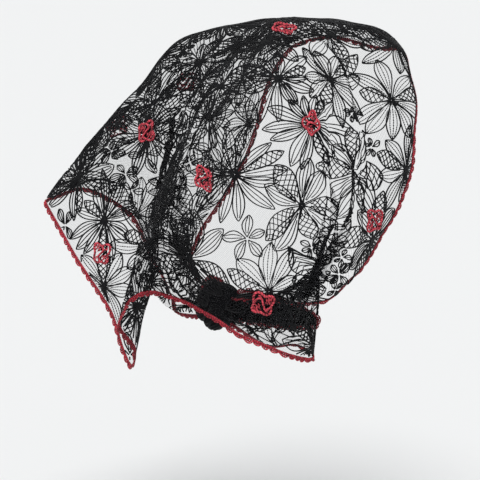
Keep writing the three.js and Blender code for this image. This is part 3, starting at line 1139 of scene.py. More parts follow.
@dataclass
class TulleGround:
    """The sheer net that the flowers are worked on."""

    drape: Drape
    finish: TulleFinish = field(default_factory=TulleFinish)

    def build(self) -> bpy.types.Object:
        """Makes the sheet from the drape's grid, closed at the crown.

        Returns:
            The dressed piece.
        """
        columns, rows = len(self.drape.turns), Drape.ROWS
        vertices = np.concatenate([self.drape.points[:1, 0], self.drape.points[:, 1:].reshape(-1, 3)])
        flat = np.concatenate([self.drape.flat[:1, 0], self.drape.flat[:, 1:].reshape(-1, 2)])
        i = np.arange(columns)[:, None]
        j = np.arange(rows - 1)[None, :]
        near, far = 1 + i * rows + j, 1 + (i + 1) % columns * rows + j
        quads = np.stack([near, far, far + 1, near + 1], -1).reshape(-1, 4)
        first = 1 + np.arange(columns) * rows
        crown = np.stack([np.zeros_like(first), np.roll(first, -1), first], -1)
        corners = np.concatenate([quads.ravel(), crown.ravel()])
        faces = quads.tolist() + crown.tolist()
        sheet = mesh_object("tulle_ground", vertices, faces, CUT_LAYER, flat[corners])
        return dress(sheet, self.finish.material(), ["lace_cloth"])


class Filling(Enum):
    """How the inside of a petal is sewn."""

    VEINED = "veined"
    RUNNING = "running"
    HATCHED = "hatched"


@dataclass(frozen=True)
class FlowerPlan:
    """What makes a kind of flower: one petal in hatched_every is hatched, the others are sewn as filling."""

    petals: int
    half_width: float
    veins: int
    hatched_every: int
    filling: Filling


class FlowerKind(Enum):
    """The kinds of embroidered flower."""

    LILY = FlowerPlan(petals=10, half_width=0.0060, veins=3, hatched_every=4, filling=Filling.RUNNING)
    DAISY = FlowerPlan(petals=14, half_width=0.0043, veins=2, hatched_every=5, filling=Filling.VEINED)
    POPPY = FlowerPlan(petals=9, half_width=0.0074, veins=4, hatched_every=2, filling=Filling.VEINED)


@dataclass(frozen=True)
class Petal:
    """One petal as it is drawn, in metres from the flower's centre."""

    angle: float
    length: float
    half_width: float
    bend: float
    fullest: float
    root: float = 0.0012
    roundness: float = 0.8

    def drawn(self, u: np.ndarray, across: np.ndarray | float) -> np.ndarray:
        """Points of the petal.

        Args:
            u: shares of the way from its root to its tip.
            across: shares of half its width, below 0 on its right.

        Returns:
            (x, y) of each point.
        """
        along = self.root + (self.length - self.root) * u
        width = self.half_width * np.sin(np.pi * u**self.fullest) ** self.roundness
        return turned(along, across * width + self.bend * self.length * u * u, self.angle)


@dataclass(frozen=True)
class PetalStyle:
    """How petals are drawn and sewn, in metres and in shares of a petal's length."""

    bend: tuple[float, float] = (-0.26, 0.26)
    fullest: tuple[float, float] = (1.25, 1.7)
    step: float = 0.0019
    least_steps: int = 6
    outline_radius: float = 0.00054
    vein_radius: float = 0.00041
    fanning: float = 0.34
    vein_root: float = 0.06
    vein_tip: float = 0.95
    vein_taper: float = 0.05
    vein_steps: float = 0.85
    least_vein_steps: int = 4
    beads: tuple[float, float] = (1.2, 0.3)
    seed_places: tuple[float, ...] = (0.92, 0.96, 0.995)
    seed_swell: tuple[float, ...] = (0.3, 1.0, 0.5)
    seed_radius: float = 0.00085
    hatching: float = 0.0042
    hatch_points: int = 9
    hatch_slant: float = 1.4
    hatch_starts: tuple[float, float] = (0.16, 0.96)
    hatched_part: tuple[float, float] = (0.14, 0.97)


@dataclass(frozen=True)
class FlowerStyle:
    """How the petals of a flower and the leaves of a spray are spread, in metres and in shares."""

    patch_reach: float = 1.35
    swing: float = 0.16
    length: tuple[float, float] = (0.88, 1.06)
    width: tuple[float, float] = (0.85, 1.12)
    shortest: float = 0.45
    length_step: float = 0.05
    eye_points: int = 9
    eye_radii: tuple[float, float] = (0.0008, 0.0019)
    eye_thickness: float = 1.25
    spray_patch_reach: float = 1.4
    leaves: tuple[int, int] = (4, 7)
    leaf_swing: float = 0.2
    leaf_length: tuple[float, float] = (0.8, 1.2)
    leaf_half_width: float = 0.24
    two_veins_from: float = 0.011


@dataclass
class Embroidery:
    """The corded flowers of the lace, and the small sprays between them."""

    drape: Drape
    finish: ThreadFinish = field(default_factory=ThreadFinish)
    seed: int = 7
    flower_radius: float = 0.036
    front_spacing: float = 0.036
    back_spacing: float = 0.043
    least_spacing: float = 0.034
    overlap: float = 0.74
    full_length: float = 0.028
    spray_reach: float = 0.015
    spray_growth: float = 1.3
    front_gap: float = 0.0042
    back_gap: float = 0.0075
    thinning: tuple[float, float] = (0.06, 0.14)
    lift: float = 0.00035
    edge_margin: float = 0.001
    centre_margin: float = 0.004
    candidate_pitch: float = 0.006
    same_place: float = 1e-6
    front_depth: float = 0.05
    cord_sides: int = 4
    petals: PetalStyle = field(default_factory=PetalStyle)
    spread: FlowerStyle = field(default_factory=FlowerStyle)

    def __post_init__(self) -> None:
        """Seeds the random draws and starts an empty set of cords for each quarter of the cloth."""
        self.random = np.random.default_rng(self.seed)
        names = [f"embroidery_{end}_{side}" for end in ("front", "back") for side in ("right", "left")]
        self.cords = {name: Cords(self.cord_sides) for name in names}
        self.centres = np.zeros((0, 3))
        self.laid: list[np.ndarray] = []

    def _world(self, flat: np.ndarray) -> np.ndarray:
        """Where places of the flat cut lie on the worn cloth, without its fine gathers."""
        return self.drape.sample(self.drape.broad, flat)

    def _candidates(self) -> np.ndarray:
        """An even grid of places on the flat cut, clear of its edges.

        Returns:
            (s, t) of each place.
        """
        cut = self.drape.cut
        grid = np.stack(np.meshgrid(
            np.arange(-cut.crown_to_knot, cut.crown_to_knot, self.candidate_pitch),
            np.arange(-cut.crown_to_front, cut.depth - cut.crown_to_front, self.candidate_pitch),
            indexing="ij",
        ), -1).reshape(-1, 2)
        return grid[self.drape.inside(grid, self.centre_margin)]

    def _flower_places(self, grid: np.ndarray) -> list[np.ndarray]:
        """Finds where the flowers go, evenly spread over the worn cloth.

        Args:
            grid: the places to choose from.

        Returns:
            The flat place of each flower.
        """
        flowers: list[np.ndarray] = []
        for row in FLOWER_PLACES:
            place = np.array(row) * MM
            far = [np.linalg.norm(self._world(place) - self._world(other)) for other in flowers]
            if not far or min(far) > self.least_spacing:
                flowers.append(place)
        world = self._world(grid)
        wanted = np.interp(grid[:, 1], self.thinning, (self.front_spacing, self.back_spacing))
        away = np.min([np.linalg.norm(world - self._world(place), axis=1) for place in flowers], axis=0)
        while (away - wanted).max() > 0.0:
            furthest = int((away - wanted).argmax())
            flowers.append(grid[furthest])
            away = np.minimum(away, np.linalg.norm(world - world[furthest], axis=1))
        return flowers

    def _fill_gaps(self, grid: np.ndarray) -> int:
        """Lays a small spray in every gap that the flowers leave.

        Args:
            grid: the places to choose from.

        Returns:
            How many sprays it took.
        """
        laid = np.concatenate(self.laid)
        tree = KDTree(len(laid))
        for k, point in enumerate(laid):
            tree.insert(point, k)
        tree.balance()
        world = self._world(grid)
        gap = np.array([tree.find(point)[2] for point in world])
        least = np.interp(grid[:, 1], self.thinning, (self.front_gap, self.back_gap))
        sprays = 0
        while (gap - least).max() > 0.0:
            widest = int((gap - least).argmax())
            before = len(self.laid)
            self._spray(grid[widest], min(self.spray_reach, self.spray_growth * gap[widest]))
            fresh = np.concatenate([world[widest : widest + 1], *self.laid[before:]])
            every_other = fresh[None, ::2]
            away = np.linalg.norm(world[:, None] - every_other, axis=-1).min(axis=1)
            gap = np.minimum(gap, away)
            sprays += 1
        return sprays

    def _stitch(self, patch: PolarPatch, drawn: np.ndarray, radius: np.ndarray | float) -> None:
        """Lays one cord on the cloth, cut off where it leaves it.

        Args:
            patch: the place that the cord is drawn round.
            drawn: the points of the drawing.
            radius: the cord's radius, or one for each point.
        """
        flat = patch.flat(drawn)
        radii = np.broadcast_to(radius, len(flat))
        on_cloth = self.drape.inside(flat, self.edge_margin)
        breaks = np.flatnonzero(np.diff(on_cloth.astype(int))) + 1
        for run, kept, thick in zip(*(np.split(row, breaks) for row in (flat, on_cloth, radii))):
            if kept[0] and len(run) > 1:
                points, normals = self.drape.place(run, self.lift)
                end = "back" if run[0, 1] > self.front_depth else "front"
                side = "right" if run[0, 0] > 0.0 else "left"
                self.cords[f"embroidery_{end}_{side}"].add(points, normals, thick)
                self.laid.append(self._world(run))

    def _petal(
        self,
        patch: PolarPatch,
        angle: float,
        length: float,
        half_width: float,
        veins: int,
        filling: Filling,
    ) -> None:
        """Lays one petal: its outline and what fills it.

        Args:
            patch: the flower's place.
            angle: the petal's direction, in radians.
            length: its length.
            half_width: half its width.
            veins: how many veins run down it.
            filling: how its inside is sewn.
        """
        style = self.petals
        bend = self.random.uniform(*style.bend)
        petal = Petal(angle, length, half_width, bend, self.random.uniform(*style.fullest))
        steps = max(style.least_steps, round(length / style.step))
        out = (1.0 - np.cos(np.pi * np.linspace(0.0, 1.0, steps + 1))) / 2.0
        rim = np.concatenate([petal.drawn(out, 1.0), petal.drawn(out[-2::-1], -1.0)])
        self._stitch(patch, rim, style.outline_radius)
        if filling is Filling.HATCHED:
            self._hatch(patch, petal)
        else:
            self._vein(patch, petal, veins, steps, filling is Filling.RUNNING)

    def _hatch(self, patch: PolarPatch, petal: Petal) -> None:
        """Fills a petal with lines that slant across it both ways.

        Args:
            patch: the flower's place.
            petal: the petal.
        """
        style = self.petals
        across = np.linspace(-1.0, 1.0, style.hatch_points)
        slant = style.hatch_slant * petal.half_width / petal.length
        first, last = style.hatch_starts
        low, high = style.hatched_part
        for start in np.arange(first - slant, last, style.hatching / petal.length):
            for way in (-1.0, 1.0):
                u = start + slant * (1.0 + way * across) / 2.0
                kept = (u > low) & (u < high)
                self._stitch(patch, petal.drawn(u[kept], across[kept]), style.vein_radius)

    def _vein(self, patch: PolarPatch, petal: Petal, veins: int, steps: int, running: bool) -> None:
        """Fills a petal with veins that fan out from its root.

        Args:
            patch: the flower's place.
            petal: the petal.
            veins: how many there are.
            steps: how many steps its outline has from root to tip.
            running: whether they are running stitches, which end in a satin seed at the tip.
        """
        style = self.petals
        points = (2 if running else 1) * max(style.least_vein_steps, round(style.vein_steps * steps))
        for share in np.linspace(-1.0, 1.0, veins + 2)[1:-1]:
            root = style.vein_root + style.fanning * abs(share)
            u = np.linspace(root, style.vein_tip - style.vein_taper * abs(share), points)
            beads = np.where(np.arange(points) % 2, style.beads[1], style.beads[0]) if running else 1.0
            self._stitch(patch, petal.drawn(u, share), style.vein_radius * beads)
        if running:
            seed = petal.drawn(np.array(style.seed_places), 0.0)
            self._stitch(patch, seed, style.seed_radius * np.array(style.seed_swell))

    def _room(self, patch: PolarPatch, place: np.ndarray, angle: float) -> float:
        """How long a petal may be before it runs into the next flower.

        Args:
            patch: the flower's place.
            place: (s, t) of its centre.
            angle: the petal's direction, in radians.

        Returns:
            The length, in metres.
        """
        step = self.spread.length_step
        lengths = np.arange(self.spread.shortest, 1.0 + step / 2.0, step) * self.flower_radius
        tips = patch.flat(lengths[:, None] * np.array([[math.cos(angle), math.sin(angle)]]))
        world = self._world(tips)
        away = np.linalg.norm(world[:, None] - self.centres[None], axis=-1)
        own = np.linalg.norm(self.centres - self._world(place[None]), axis=-1) < self.same_place
        nearest = np.where(own, np.inf, away).min(axis=1)
        free = nearest > self.overlap * lengths
        return lengths[-1] if free.all() else lengths[max(0, int(free.argmin()) - 1)]

    def _flower(self, place: np.ndarray, plan: FlowerPlan) -> None:
        """Lays one flower.

        Args:
            place: (s, t) of its centre.
            plan: what kind of flower it is.
        """
        spread = self.spread
        patch = PolarPatch(self.drape, place, self.flower_radius * spread.patch_reach)
        start = self.random.uniform(0.0, math.tau)
        for k in range(plan.petals):
            swing = self.random.uniform(-spread.swing, spread.swing)
            angle = start + math.tau * (k + swing) / plan.petals
            length = self._room(patch, place, angle) * self.random.uniform(*spread.length)
            width = plan.half_width * self.random.uniform(*spread.width) * min(1.0, length / self.full_length)
            filling = Filling.HATCHED if (k + 1) % plan.hatched_every == 0 else plan.filling
            self._petal(patch, angle, length, width, plan.veins, filling)
        eye = np.linspace(0.0, math.tau, spread.eye_points)
        for radius in spread.eye_radii:
            ring = radius * np.stack([np.cos(eye), np.sin(eye)], -1)
            self._stitch(patch, ring, self.petals.outline_radius * spread.eye_thickness)

    def _spray(self, place: np.ndarray, reach: float) -> None:
        """Lays a small blossom of leaves.

        Args:
            place: (s, t) of its middle.
            reach: how long its leaves are.
        """
        spread = self.spread
        patch = PolarPatch(self.drape, place, reach * spread.spray_patch_reach)
        start = self.random.uniform(0.0, math.tau)
        leaves = int(self.random.integers(*spread.leaves))
        veins = 2 if reach > spread.two_veins_from else 1
        for k in range(leaves):
            swing = self.random.uniform(-spread.leaf_swing, spread.leaf_swing)
            angle = start + math.tau * (k + swing) / leaves
            length = reach * self.random.uniform(*spread.leaf_length)
            self._petal(patch, angle, length, spread.leaf_half_width * length, veins, Filling.VEINED)

    def build(self) -> list[bpy.types.Object]:
        """Lays every flower and spray.

        Returns:
            The dressed pieces, one for each quarter of the cloth.
        """
        grid = self._candidates()
        flowers = self._flower_places(grid)
        self.centres = self._world(np.array(flowers))
        kinds = list(FlowerKind)
        # The kinds follow each other unevenly, so that no rows of one kind form.
        for k, place in enumerate(flowers):
            self._flower(place, kinds[(k * 2 + k // 3) % len(kinds)].value)
        log.info("embroidery: %d flowers, %d sprays", len(flowers), self._fill_gaps(grid))
        material = self.finish.material()
        return [dress(cords.build(name), material) for name, cords in self.cords.items()]


class Edge:
    """An edge of cloth as a line that crochet can be worked along."""

    INWARD = 0.003
    SNAP = 1e-6

    def __init__(self, points: np.ndarray, normals: np.ndarray, out: np.ndarray, short: float) -> None:
        """Measures the edge.

        Args:
            points: the points of the edge.
            normals: the way out of the cloth's face at each.
            out: roughly the way across the edge, away from the cloth.
            short: how far the crochet stops short of both ends.
        """
        along = unit(np.gradient(points, axis=0))
        for axis in (along, normals):
            out = out - (out * axis).sum(-1, keepdims=True) * axis
        walked = walked_along(points)
        self.length = walked[-1] - 2.0 * short
        self._walked = walked - short
        self._points, self._normals, self._out = points, normals, unit(out)

    @classmethod
    def of_drape(cls, drape: Drape, from_turn: float, to_turn: float, short: float) -> "Edge":
        """Follows the worn cloth's edge from one turn round to another.

        Args:
            drape: the worn cloth.
            from_turn: where it starts, in degrees, which may be below 0.
            to_turn: where it ends.
            short: how far the crochet stops short of both ends.

        Returns:
            The edge.
        """
        turns = np.concatenate([drape.turns - FULL_TURN, drape.turns])
        turns = turns[(turns >= from_turn) & (turns <= to_turn)]
        column = np.searchsorted(drape.turns, turns % FULL_TURN - cls.SNAP)
        points, normals = drape.points[column, -1], drape.normals[column, -1]
        inner = drape.sample(drape.points, drape.flat[column, -1] - cls.INWARD * drape.cut.outward(turns))
        return cls(points, normals, points - inner, short)

    def _at(self, table: np.ndarray, along: np.ndarray) -> np.ndarray:
        """A table of vectors at lengths along the edge."""
        return np.stack([np.interp(along, self._walked, table[:, axis]) for axis in range(3)], -1)

    def place(
        self, along: np.ndarray, out: np.ndarray, up: np.ndarray | float
    ) -> tuple[np.ndarray, np.ndarray]:
        """Places beside the edge.

        Args:
            along: lengths along the edge.
            out: how far each lies beyond it.
            up: how far each stands out of the cloth.

        Returns:
            The points, and the way out of the cloth at each.
        """
        normals = unit(self._at(self._normals, along))
        beyond = unit(self._at(self._out, along))
        points = self._at(self._points, along) + beyond * out[:, None] + normals * np.reshape(up, (-1, 1))
        return points, normals


@dataclass
class CrochetEdging:
    """The crochet worked along one edge: a twisted chain, and filled shells that stand out from it."""

    name: str
    nodes: Sequence[str]
    edge: Edge
    material: bpy.types.Material
    chain_place: float = 0.0006
    chain_stitch: float = 0.0026
    strand_apart: float = 0.00050
    strand_radius: float = 0.00044
    shell: float = 0.0070
    shell_foot: float = 0.0010
    shell_height: float = 0.0023
    shell_wander: float = 0.12
    rim_radius: float = 0.00052
    fill_stitch: float = 0.00145
    fill_radius: float = 0.00050
    step: float = 0.0006
    # How fast the shells wander along the edge and in height, in radians a metre.
    lean_wander: float = 190.0
    height_wander: float = 410.0
    lean: float = 0.75
    fullness: float = 0.65
    shell_points: int = 9
    rim_stitch: float = 0.0016
    rim_lumps: float = 0.22
    fill_points: int = 4
    fill_share: float = 0.92
    layer_lift: float = 0.0002
    cord_sides: int = 5

    def _chain(self, cords: Cords) -> None:
        """Works a chain of two strands twisted round each other along the edge.

        Args:
            cords: where they go.
        """
        along = np.arange(0.0, self.edge.length, self.step)
        for phase in (0.0, np.pi):
            angle = math.tau * along / self.chain_stitch + phase
            aside = self.strand_apart * np.cos(angle)
            above = self.strand_apart * np.sin(angle)
            cords.add(*self.edge.place(along, self.chain_place + aside, above), self.strand_radius)

    def _shell_height(self, along: np.ndarray, count: int) -> np.ndarray:
        """How high the shells stand: full, leaning one way, no two quite alike.

        Args:
            along: lengths along the edge.
            count: how many shells there are.

        Returns:
            The height at each length.
        """
        uneven = self.shell_wander * np.sin(along * self.lean_wander)
        share = (along * count / self.edge.length + uneven) % 1.0
        full = self.shell_height * (1.0 + self.shell_wander * np.sin(along * self.height_wander))
        return full * np.sin(np.pi * share**self.lean) ** self.fullness

    def build(self) -> bpy.types.Object:
        """Works the whole edging.

        Returns:
            The dressed piece.
        """
        cords = Cords(self.cord_sides)
        self._chain(cords)
        count = round(self.edge.length / self.shell)
        along = np.linspace(0.0, self.edge.length, count * self.shell_points + 1)
        height = self._shell_height(along, count)
        lumps = self.rim_radius * (1.0 + self.rim_lumps * np.cos(math.tau * along / self.rim_stitch))
        cords.add(*self.edge.place(along, self.shell_foot + height, self.layer_lift), lumps)
        stitches = round(self.edge.length / self.fill_stitch)
        along = np.linspace(0.0, self.edge.length, stitches * self.fill_points + 1)
        swing = 0.5 - 0.5 * np.cos(math.tau * stitches * along / self.edge.length)
        out = self.shell_foot + self.fill_share * self._shell_height(along, count) * swing
        cords.add(*self.edge.place(along, out, -self.layer_lift), self.fill_radius)
        return dress(cords.build(self.name), self.material, self.nodes)


@dataclass
class CrochetFlower:
    """A small flower of crocheted cord, sewn flat on the cloth."""

    number: int
    drape: Drape
    place: tuple[float, float, float, float]
    material: bpy.types.Material
    lobes: int = 4
    ring_reach: float = 0.0076
    ring_swell: float = 0.0014
    uneven: float = 0.0005
    ply_apart: float = 0.00036
    ply_turn: float = 0.0030
    ply_radius: float = 0.00062
    tongue_radius: float = 0.00072
    bow: float = 0.0030
    knotted: tuple[float, float] = (0.0022, 0.0078)
    knotted_width: float = 0.0030
    zigzags: int = 3
    zigzag_radius: float = 0.00050
    tongue: tuple[float, float] = (0.0044, 0.0072)
    lift: float = 0.0012
    stitch: float = 0.0017
    lumps: float = 0.16
    stretch: float = 0.25
    ring_points: int = 133
    # How far the ring's waves and the bow of the S move on from one flower to the next, in radians.
    ring_phase: float = 1.7
    bow_phase: float = 2.3
    bow_wander: float = 0.3
    crossing_points: int = 49
    crossing_lift: float = 0.0005
    knotted_arc: tuple[float, float] = (0.12, 0.74)
    knotted_fullness: float = 0.7
    knotted_turn: float = 0.1
    tongue_points: int = 10
    tongue_swell: tuple[float, float] = (0.7, 0.5)
    tongue_bow: float = 0.0011
    patch_reach: float = 1.5
    cord_sides: int = 6

    def _lay(
        self,
        cords: Cords,
        patch: PolarPatch,
        drawn: np.ndarray,
        radius: np.ndarray | float,
        lift: np.ndarray | float,
    ) -> None:
        """Lays one strand with the small lumps of its stitches.

        Args:
            cords: where it goes.
            patch: the flower's place on the cloth.
            drawn: the points of the drawing.
            radius: the strand's radius.
            lift: how far each point stands out of the cloth.
        """
        width = self.place[3]
        drawn = drawn * np.array([1.0 + self.stretch * (1.0 - width), width])
        lumps = radius * (1.0 + self.lumps * np.cos(math.tau * walked_along(drawn) / self.stitch))
        cords.add(*self.drape.place(patch.flat(drawn), lift), lumps)

    def _reach(self, around: np.ndarray) -> np.ndarray:
        """How far out the ring runs, no two flowers quite alike.

        Args:
            around: directions from the flower's centre, in radians.

        Returns:
            The reach in each direction.
        """
        phase = self.ring_phase * self.number
        swell = self.ring_swell * np.cos(self.lobes * around)
        waves = np.cos(2.0 * around + phase) + np.cos(3.0 * around - phase)
        return self.ring_reach + swell + self.uneven * waves

    def _ring(self, cords: Cords, patch: PolarPatch) -> None:
        """Lays the lobed ring, of two strands twisted round each other.

        Args:
            cords: where they go.
            patch: the flower's place on the cloth.
        """
        around = np.linspace(0.0, math.tau, self.ring_points)
        turns = round(math.tau * self.ring_reach / self.ply_turn)
        for phase in (0.0, np.pi):
            ply = turns * around + phase
            strand = self._reach(around) + self.ply_apart * np.cos(ply)
            drawn = turned(strand * np.cos(around), strand * np.sin(around), 0.0)
            self._lay(cords, patch, drawn, self.ply_radius, self.lift + self.ply_apart * np.sin(ply))

    def _crossing(self, cords: Cords, patch: PolarPatch) -> None:
        """Lays two strands, twisted round each other, in an S from notch to notch.

        Args:
            cords: where they go.
            patch: the flower's place on the cloth.
        """
        share = np.linspace(-1.0, 1.0, self.crossing_points)
        angle = np.pi / self.lobes
        ends = [float(self._reach(np.array(angle + half))) for half in (np.pi, 0.0)]
        along = np.where(share < 0.0, ends[0], ends[1]) * share
        bend = 1.0 + self.bow_wander * math.sin(self.bow_phase * self.number)
        bow = self.bow * bend * np.sin(np.pi * share)
        for phase in (0.0, np.pi):
            ply = math.tau * along / self.ply_turn + phase
            drawn = turned(along, bow + self.ply_apart * np.cos(ply), angle)
            over = self.crossing_lift + self.ply_apart * np.sin(ply)
            self._lay(cords, patch, drawn, self.ply_radius, self.lift + over)

    def _filled_lobes(self, cords: Cords, patch: PolarPatch) -> None:
        """Works close zigzag stitches into two lobes that face each other.

        Args:
            cords: where they go.
            patch: the flower's place on the cloth.
        """
        share = np.linspace(0.0, 1.0, 4 * self.zigzags + 1)
        low, high = self.knotted
        along = low + (high - low) * share
        from_arc, arc = self.knotted_arc
        width = self.knotted_width * np.sin(np.pi * (from_arc + arc * share)) ** self.knotted_fullness
        swing = np.sin(math.tau * self.zigzags * share)
        lift = self.lift + self.crossing_lift * np.cos(2.0 * math.tau * share)
        for k in (0, 1):
            angle = np.pi * k + self.knotted_turn * math.sin(self.number + k)
            self._lay(cords, patch, turned(along, width * swing, angle), self.zigzag_radius, lift)

    def _open_lobes(self, cords: Cords, patch: PolarPatch) -> None:
        """Lays a short bent strand that ends in a small knot inside each open lobe.

        Args:
            cords: where they go.
            patch: the flower's place on the cloth.
        """
        low, high = self.tongue
        share = np.linspace(0.0, 1.0, self.tongue_points)
        thin, thicker = self.tongue_swell
        swollen = self.tongue_radius * (thin + thicker * share**4)
        for k in (0, 1):
            angle = np.pi * (k + 0.5)
            drawn = turned(high + (low - high) * share, self.tongue_bow * np.sin(np.pi * share), angle)
            self._lay(cords, patch, drawn, swollen, self.lift)

    def build(self) -> bpy.types.Object:
        """Makes the lobed ring and the strands inside it.

        Returns:
            The dressed piece.
        """
        s, t, turn = self.place[:3]
        patch = PolarPatch(self.drape, (s * MM, t * MM), self.ring_reach * self.patch_reach, turn)
        cords = Cords(self.cord_sides)
        self._ring(cords, patch)
        self._crossing(cords, patch)
        self._filled_lobes(cords, patch)
        self._open_lobes(cords, patch)
        piece = cords.build(f"crochet_flower_{self.number:02d}")
        return dress(piece, self.material, [f"rosette_{self.number:02d}"])


@dataclass
class NapeKnot:
    """The knot at the nape: lace wound in slanting folds, with two short free ends."""

    crochet: bpy.types.Material
    finish: BunchedLaceFinish = field(default_factory=BunchedLaceFinish)
    thread: ThreadFinish = field(default_factory=ThreadFinish)
    centre: tuple[float, float, float] = (0.0, 0.063, -0.206)
    half_length: float = 0.0120
    end_radius: float = 0.0130
    radius: float = 0.0182
    folds: int = 5
    fold_depth: float = 0.0030
    slant: float = 0.9
    fold_roundness: float = 0.6
    end_roundness: float = 0.3
    body_grid: tuple[int, int] = (120, 20)
    tail_wall: float = 0.0012
    tail_pleats: float = 2.5
    tail_wave: float = 0.0020
    tail_slant: float = 0.6
    full_width: float = 0.016
    tail_grid: tuple[int, int] = (40, 24)
    cord_radius: float = 0.00042
    cord_lift: float = 0.0002
    cord_sides: int = 4
    knot_cords: int = 58
    knot_cord_part: tuple[float, float] = (0.03, 0.97)
    knot_cord_points: int = 22
    # How far the cords wander, how fast along their length, and how that moves on from one to the next. The
    # knot's are in radians round it, those of the free ends in shares of the width.
    knot_wander: tuple[float, float, float] = (0.16, 6.0, 7.0)
    tail_wander: tuple[float, float, float] = (0.03, 9.0, 5.0)
    tail_cords: int = 13
    tail_cord_end: float = 0.97
    tail_cord_points: int = 40
    tail_cord_width: float = 0.94
    edging_start: float = 0.12
    edging_points: int = 60
    edging_lead: float = 0.04

    def _barrel_place(self, angle: np.ndarray, share: np.ndarray, lift: float) -> np.ndarray:
        """Places on the knot's wound body.

        Args:
            angle: directions round it, in radians.
            share: shares of the way from its right end to its left.
            lift: how far they stand out of it.

        Returns:
            The points.
        """
        bulge = np.sin(np.pi * share)
        wave = np.sin(self.folds * angle / 2.0 + self.slant * np.pi * share)
        fold = np.abs(wave) ** self.fold_roundness
        radius = self.end_radius + (self.radius - self.end_radius) * bulge + lift
        radius = radius + self.fold_depth * (fold - 1.0) * np.abs(bulge) ** self.end_roundness
        x = self.half_length * (2.0 * share - 1.0)
        return np.stack([x, radius * np.cos(angle), radius * np.sin(angle)], -1) + np.array(self.centre)

    def _tail_place(self, side: float, along: np.ndarray, across: np.ndarray, out: float) -> np.ndarray:
        """Places on a free end.

        Args:
            side: 1 on the left and -1 on the right.
            along: shares of the way from the knot to the tip.
            across: shares of the width, from -0.5 at the bottom to 0.5 at the top.
            out: how far behind the middle of its wall they are.

        Returns:
            The points.
        """
        table = np.array(TAIL) * MM
        walked = walked_along(table[:, :3])
        x, y, z, width = (np.interp(along * walked[-1], walked, table[:, column]) for column in range(4))
        fan = np.minimum(1.0, width / self.full_width)
        wave = np.cos(math.tau * self.tail_pleats * across + self.tail_slant * along)
        pleat = self.tail_wave * fan * wave
        return np.stack([side * x, y + pleat + out, z + width * across], -1)

    def _barrel(self) -> tuple[np.ndarray, list[list[int]]]:
        """The wound body as a mesh, closed at both ends.

        Returns:
            Its points and faces.
        """
        around, rows = self.body_grid
        share, angle = np.meshgrid(
            np.linspace(0.0, 1.0, rows + 1), math.tau * np.arange(around) / around, indexing="ij"
        )
        start = np.arange(rows)[:, None] * around
        column = np.arange(around)[None, :]
        after = (column + 1) % around
        sides = np.stack([start + column, start + after, start + around + after, start + around + column], -1)
        ends = [list(range(around))[::-1], list(range(rows * around, (rows + 1) * around))]
        points = self._barrel_place(angle, share, 0.0).reshape(-1, 3)
        return points, sides.reshape(-1, 4).tolist() + ends

    def _tail(self, side: float) -> tuple[np.ndarray, list[list[int]]]:
        """One free end as a closed mesh.

        Args:
            side: 1 on the left and -1 on the right.

        Returns:
            Its points and faces.
        """
        long, wide = self.tail_grid
        along, across = np.meshgrid(
            np.linspace(0.0, 1.0, long + 1), np.linspace(-0.5, 0.5, wide + 1), indexing="ij"
        )
        half = self.tail_wall / 2.0
        points = np.concatenate([
            self._tail_place(side, along, across, out).reshape(-1, 3) for out in (-half, half)
        ])
        row, size = wide + 1, (long + 1) * (wide + 1)
        start = (np.arange(long)[:, None] * row + np.arange(wide)[None, :]).ravel()
        front = np.stack([start, start + 1, start + row + 1, start + row], -1)
        back = size + front[:, ::-1]
        rim = [
            *range(row),
            *range(2 * row - 1, size, row),
            *range(size - 2, size - row - 1, -1),
            *range(size - 2 * row, 0, -row),
        ]
        band = [[b, a, size + a, size + b] for a, b in zip(rim, rim[1:] + rim[:1])]
        faces = front.tolist() + back.tolist() + band
        return points, [face[::-1] for face in faces] if side > 0.0 else faces

    def _body(self) -> bpy.types.Object:
        """Joins the wound body and its free ends into one piece.

        Returns:
            The dressed piece.
        """
        vertices, faces, count = [], [], 0
        for points, corners in (self._barrel(), self._tail(-1.0), self._tail(1.0)):
            vertices.append(points)
            faces += [[corner + count for corner in face] for face in corners]
            count += len(points)
        places = np.concatenate(vertices)
        uv = places[np.concatenate(faces)][:, [0, 2]]
        piece = mesh_object("tied_knot", places, faces, STRAND_LAYER, uv)
        return dress(piece, self.finish.material(), ["nape_knot"])

    def _cords(self) -> bpy.types.Object:
        """Lays the lace's cords, pulled close together, over the knot and its ends.

        Returns:
            The dressed piece.
        """
        cords = Cords(self.cord_sides)
        self._wind_cords(cords)
        for side in (-1.0, 1.0):
            for way in (-1.0, 1.0):
                self._tail_cords(cords, side, way)
        return dress(cords.build("knot_cords"), self.thread.material())

    def _wind_cords(self, cords: Cords) -> None:
        """Winds cords round the knot along its folds.

        Args:
            cords: where they go.
        """
        share = np.linspace(*self.knot_cord_part, self.knot_cord_points)
        axis = np.array(self.centre)
        far, fast, onward = self.knot_wander
        for k in range(self.knot_cords):
            start = math.tau * k / self.knot_cords
            wound = start - math.tau * self.slant * share / self.folds
            angle = wound + far * np.sin(fast * share + onward * k)
            points = self._barrel_place(angle, share, self.cord_lift)
            cords.add(points, unit((points - axis) * np.array([0.0, 1.0, 1.0])), self.cord_radius)

    def _tail_cords(self, cords: Cords, side: float, way: float) -> None:
        """Lays cords along one face of a free end.

        Args:
            cords: where they go.
            side: 1 on the left and -1 on the right.
            way: 1 on the back and -1 on the front.
        """
        along = np.linspace(0.0, self.tail_cord_end, self.tail_cord_points)
        out = way * (self.tail_wall / 2.0 + self.cord_lift)
        far, fast, onward = self.tail_wander
        for k in range(self.tail_cords):
            middle = (k + 0.5) / self.tail_cords - 0.5
            across = self.tail_cord_width * middle + far * np.sin(fast * along + onward * k)
            points = self._tail_place(side, along, across, out)
            cords.add(points, np.tile([0.0, way, 0.0], (len(points), 1)), self.cord_radius)

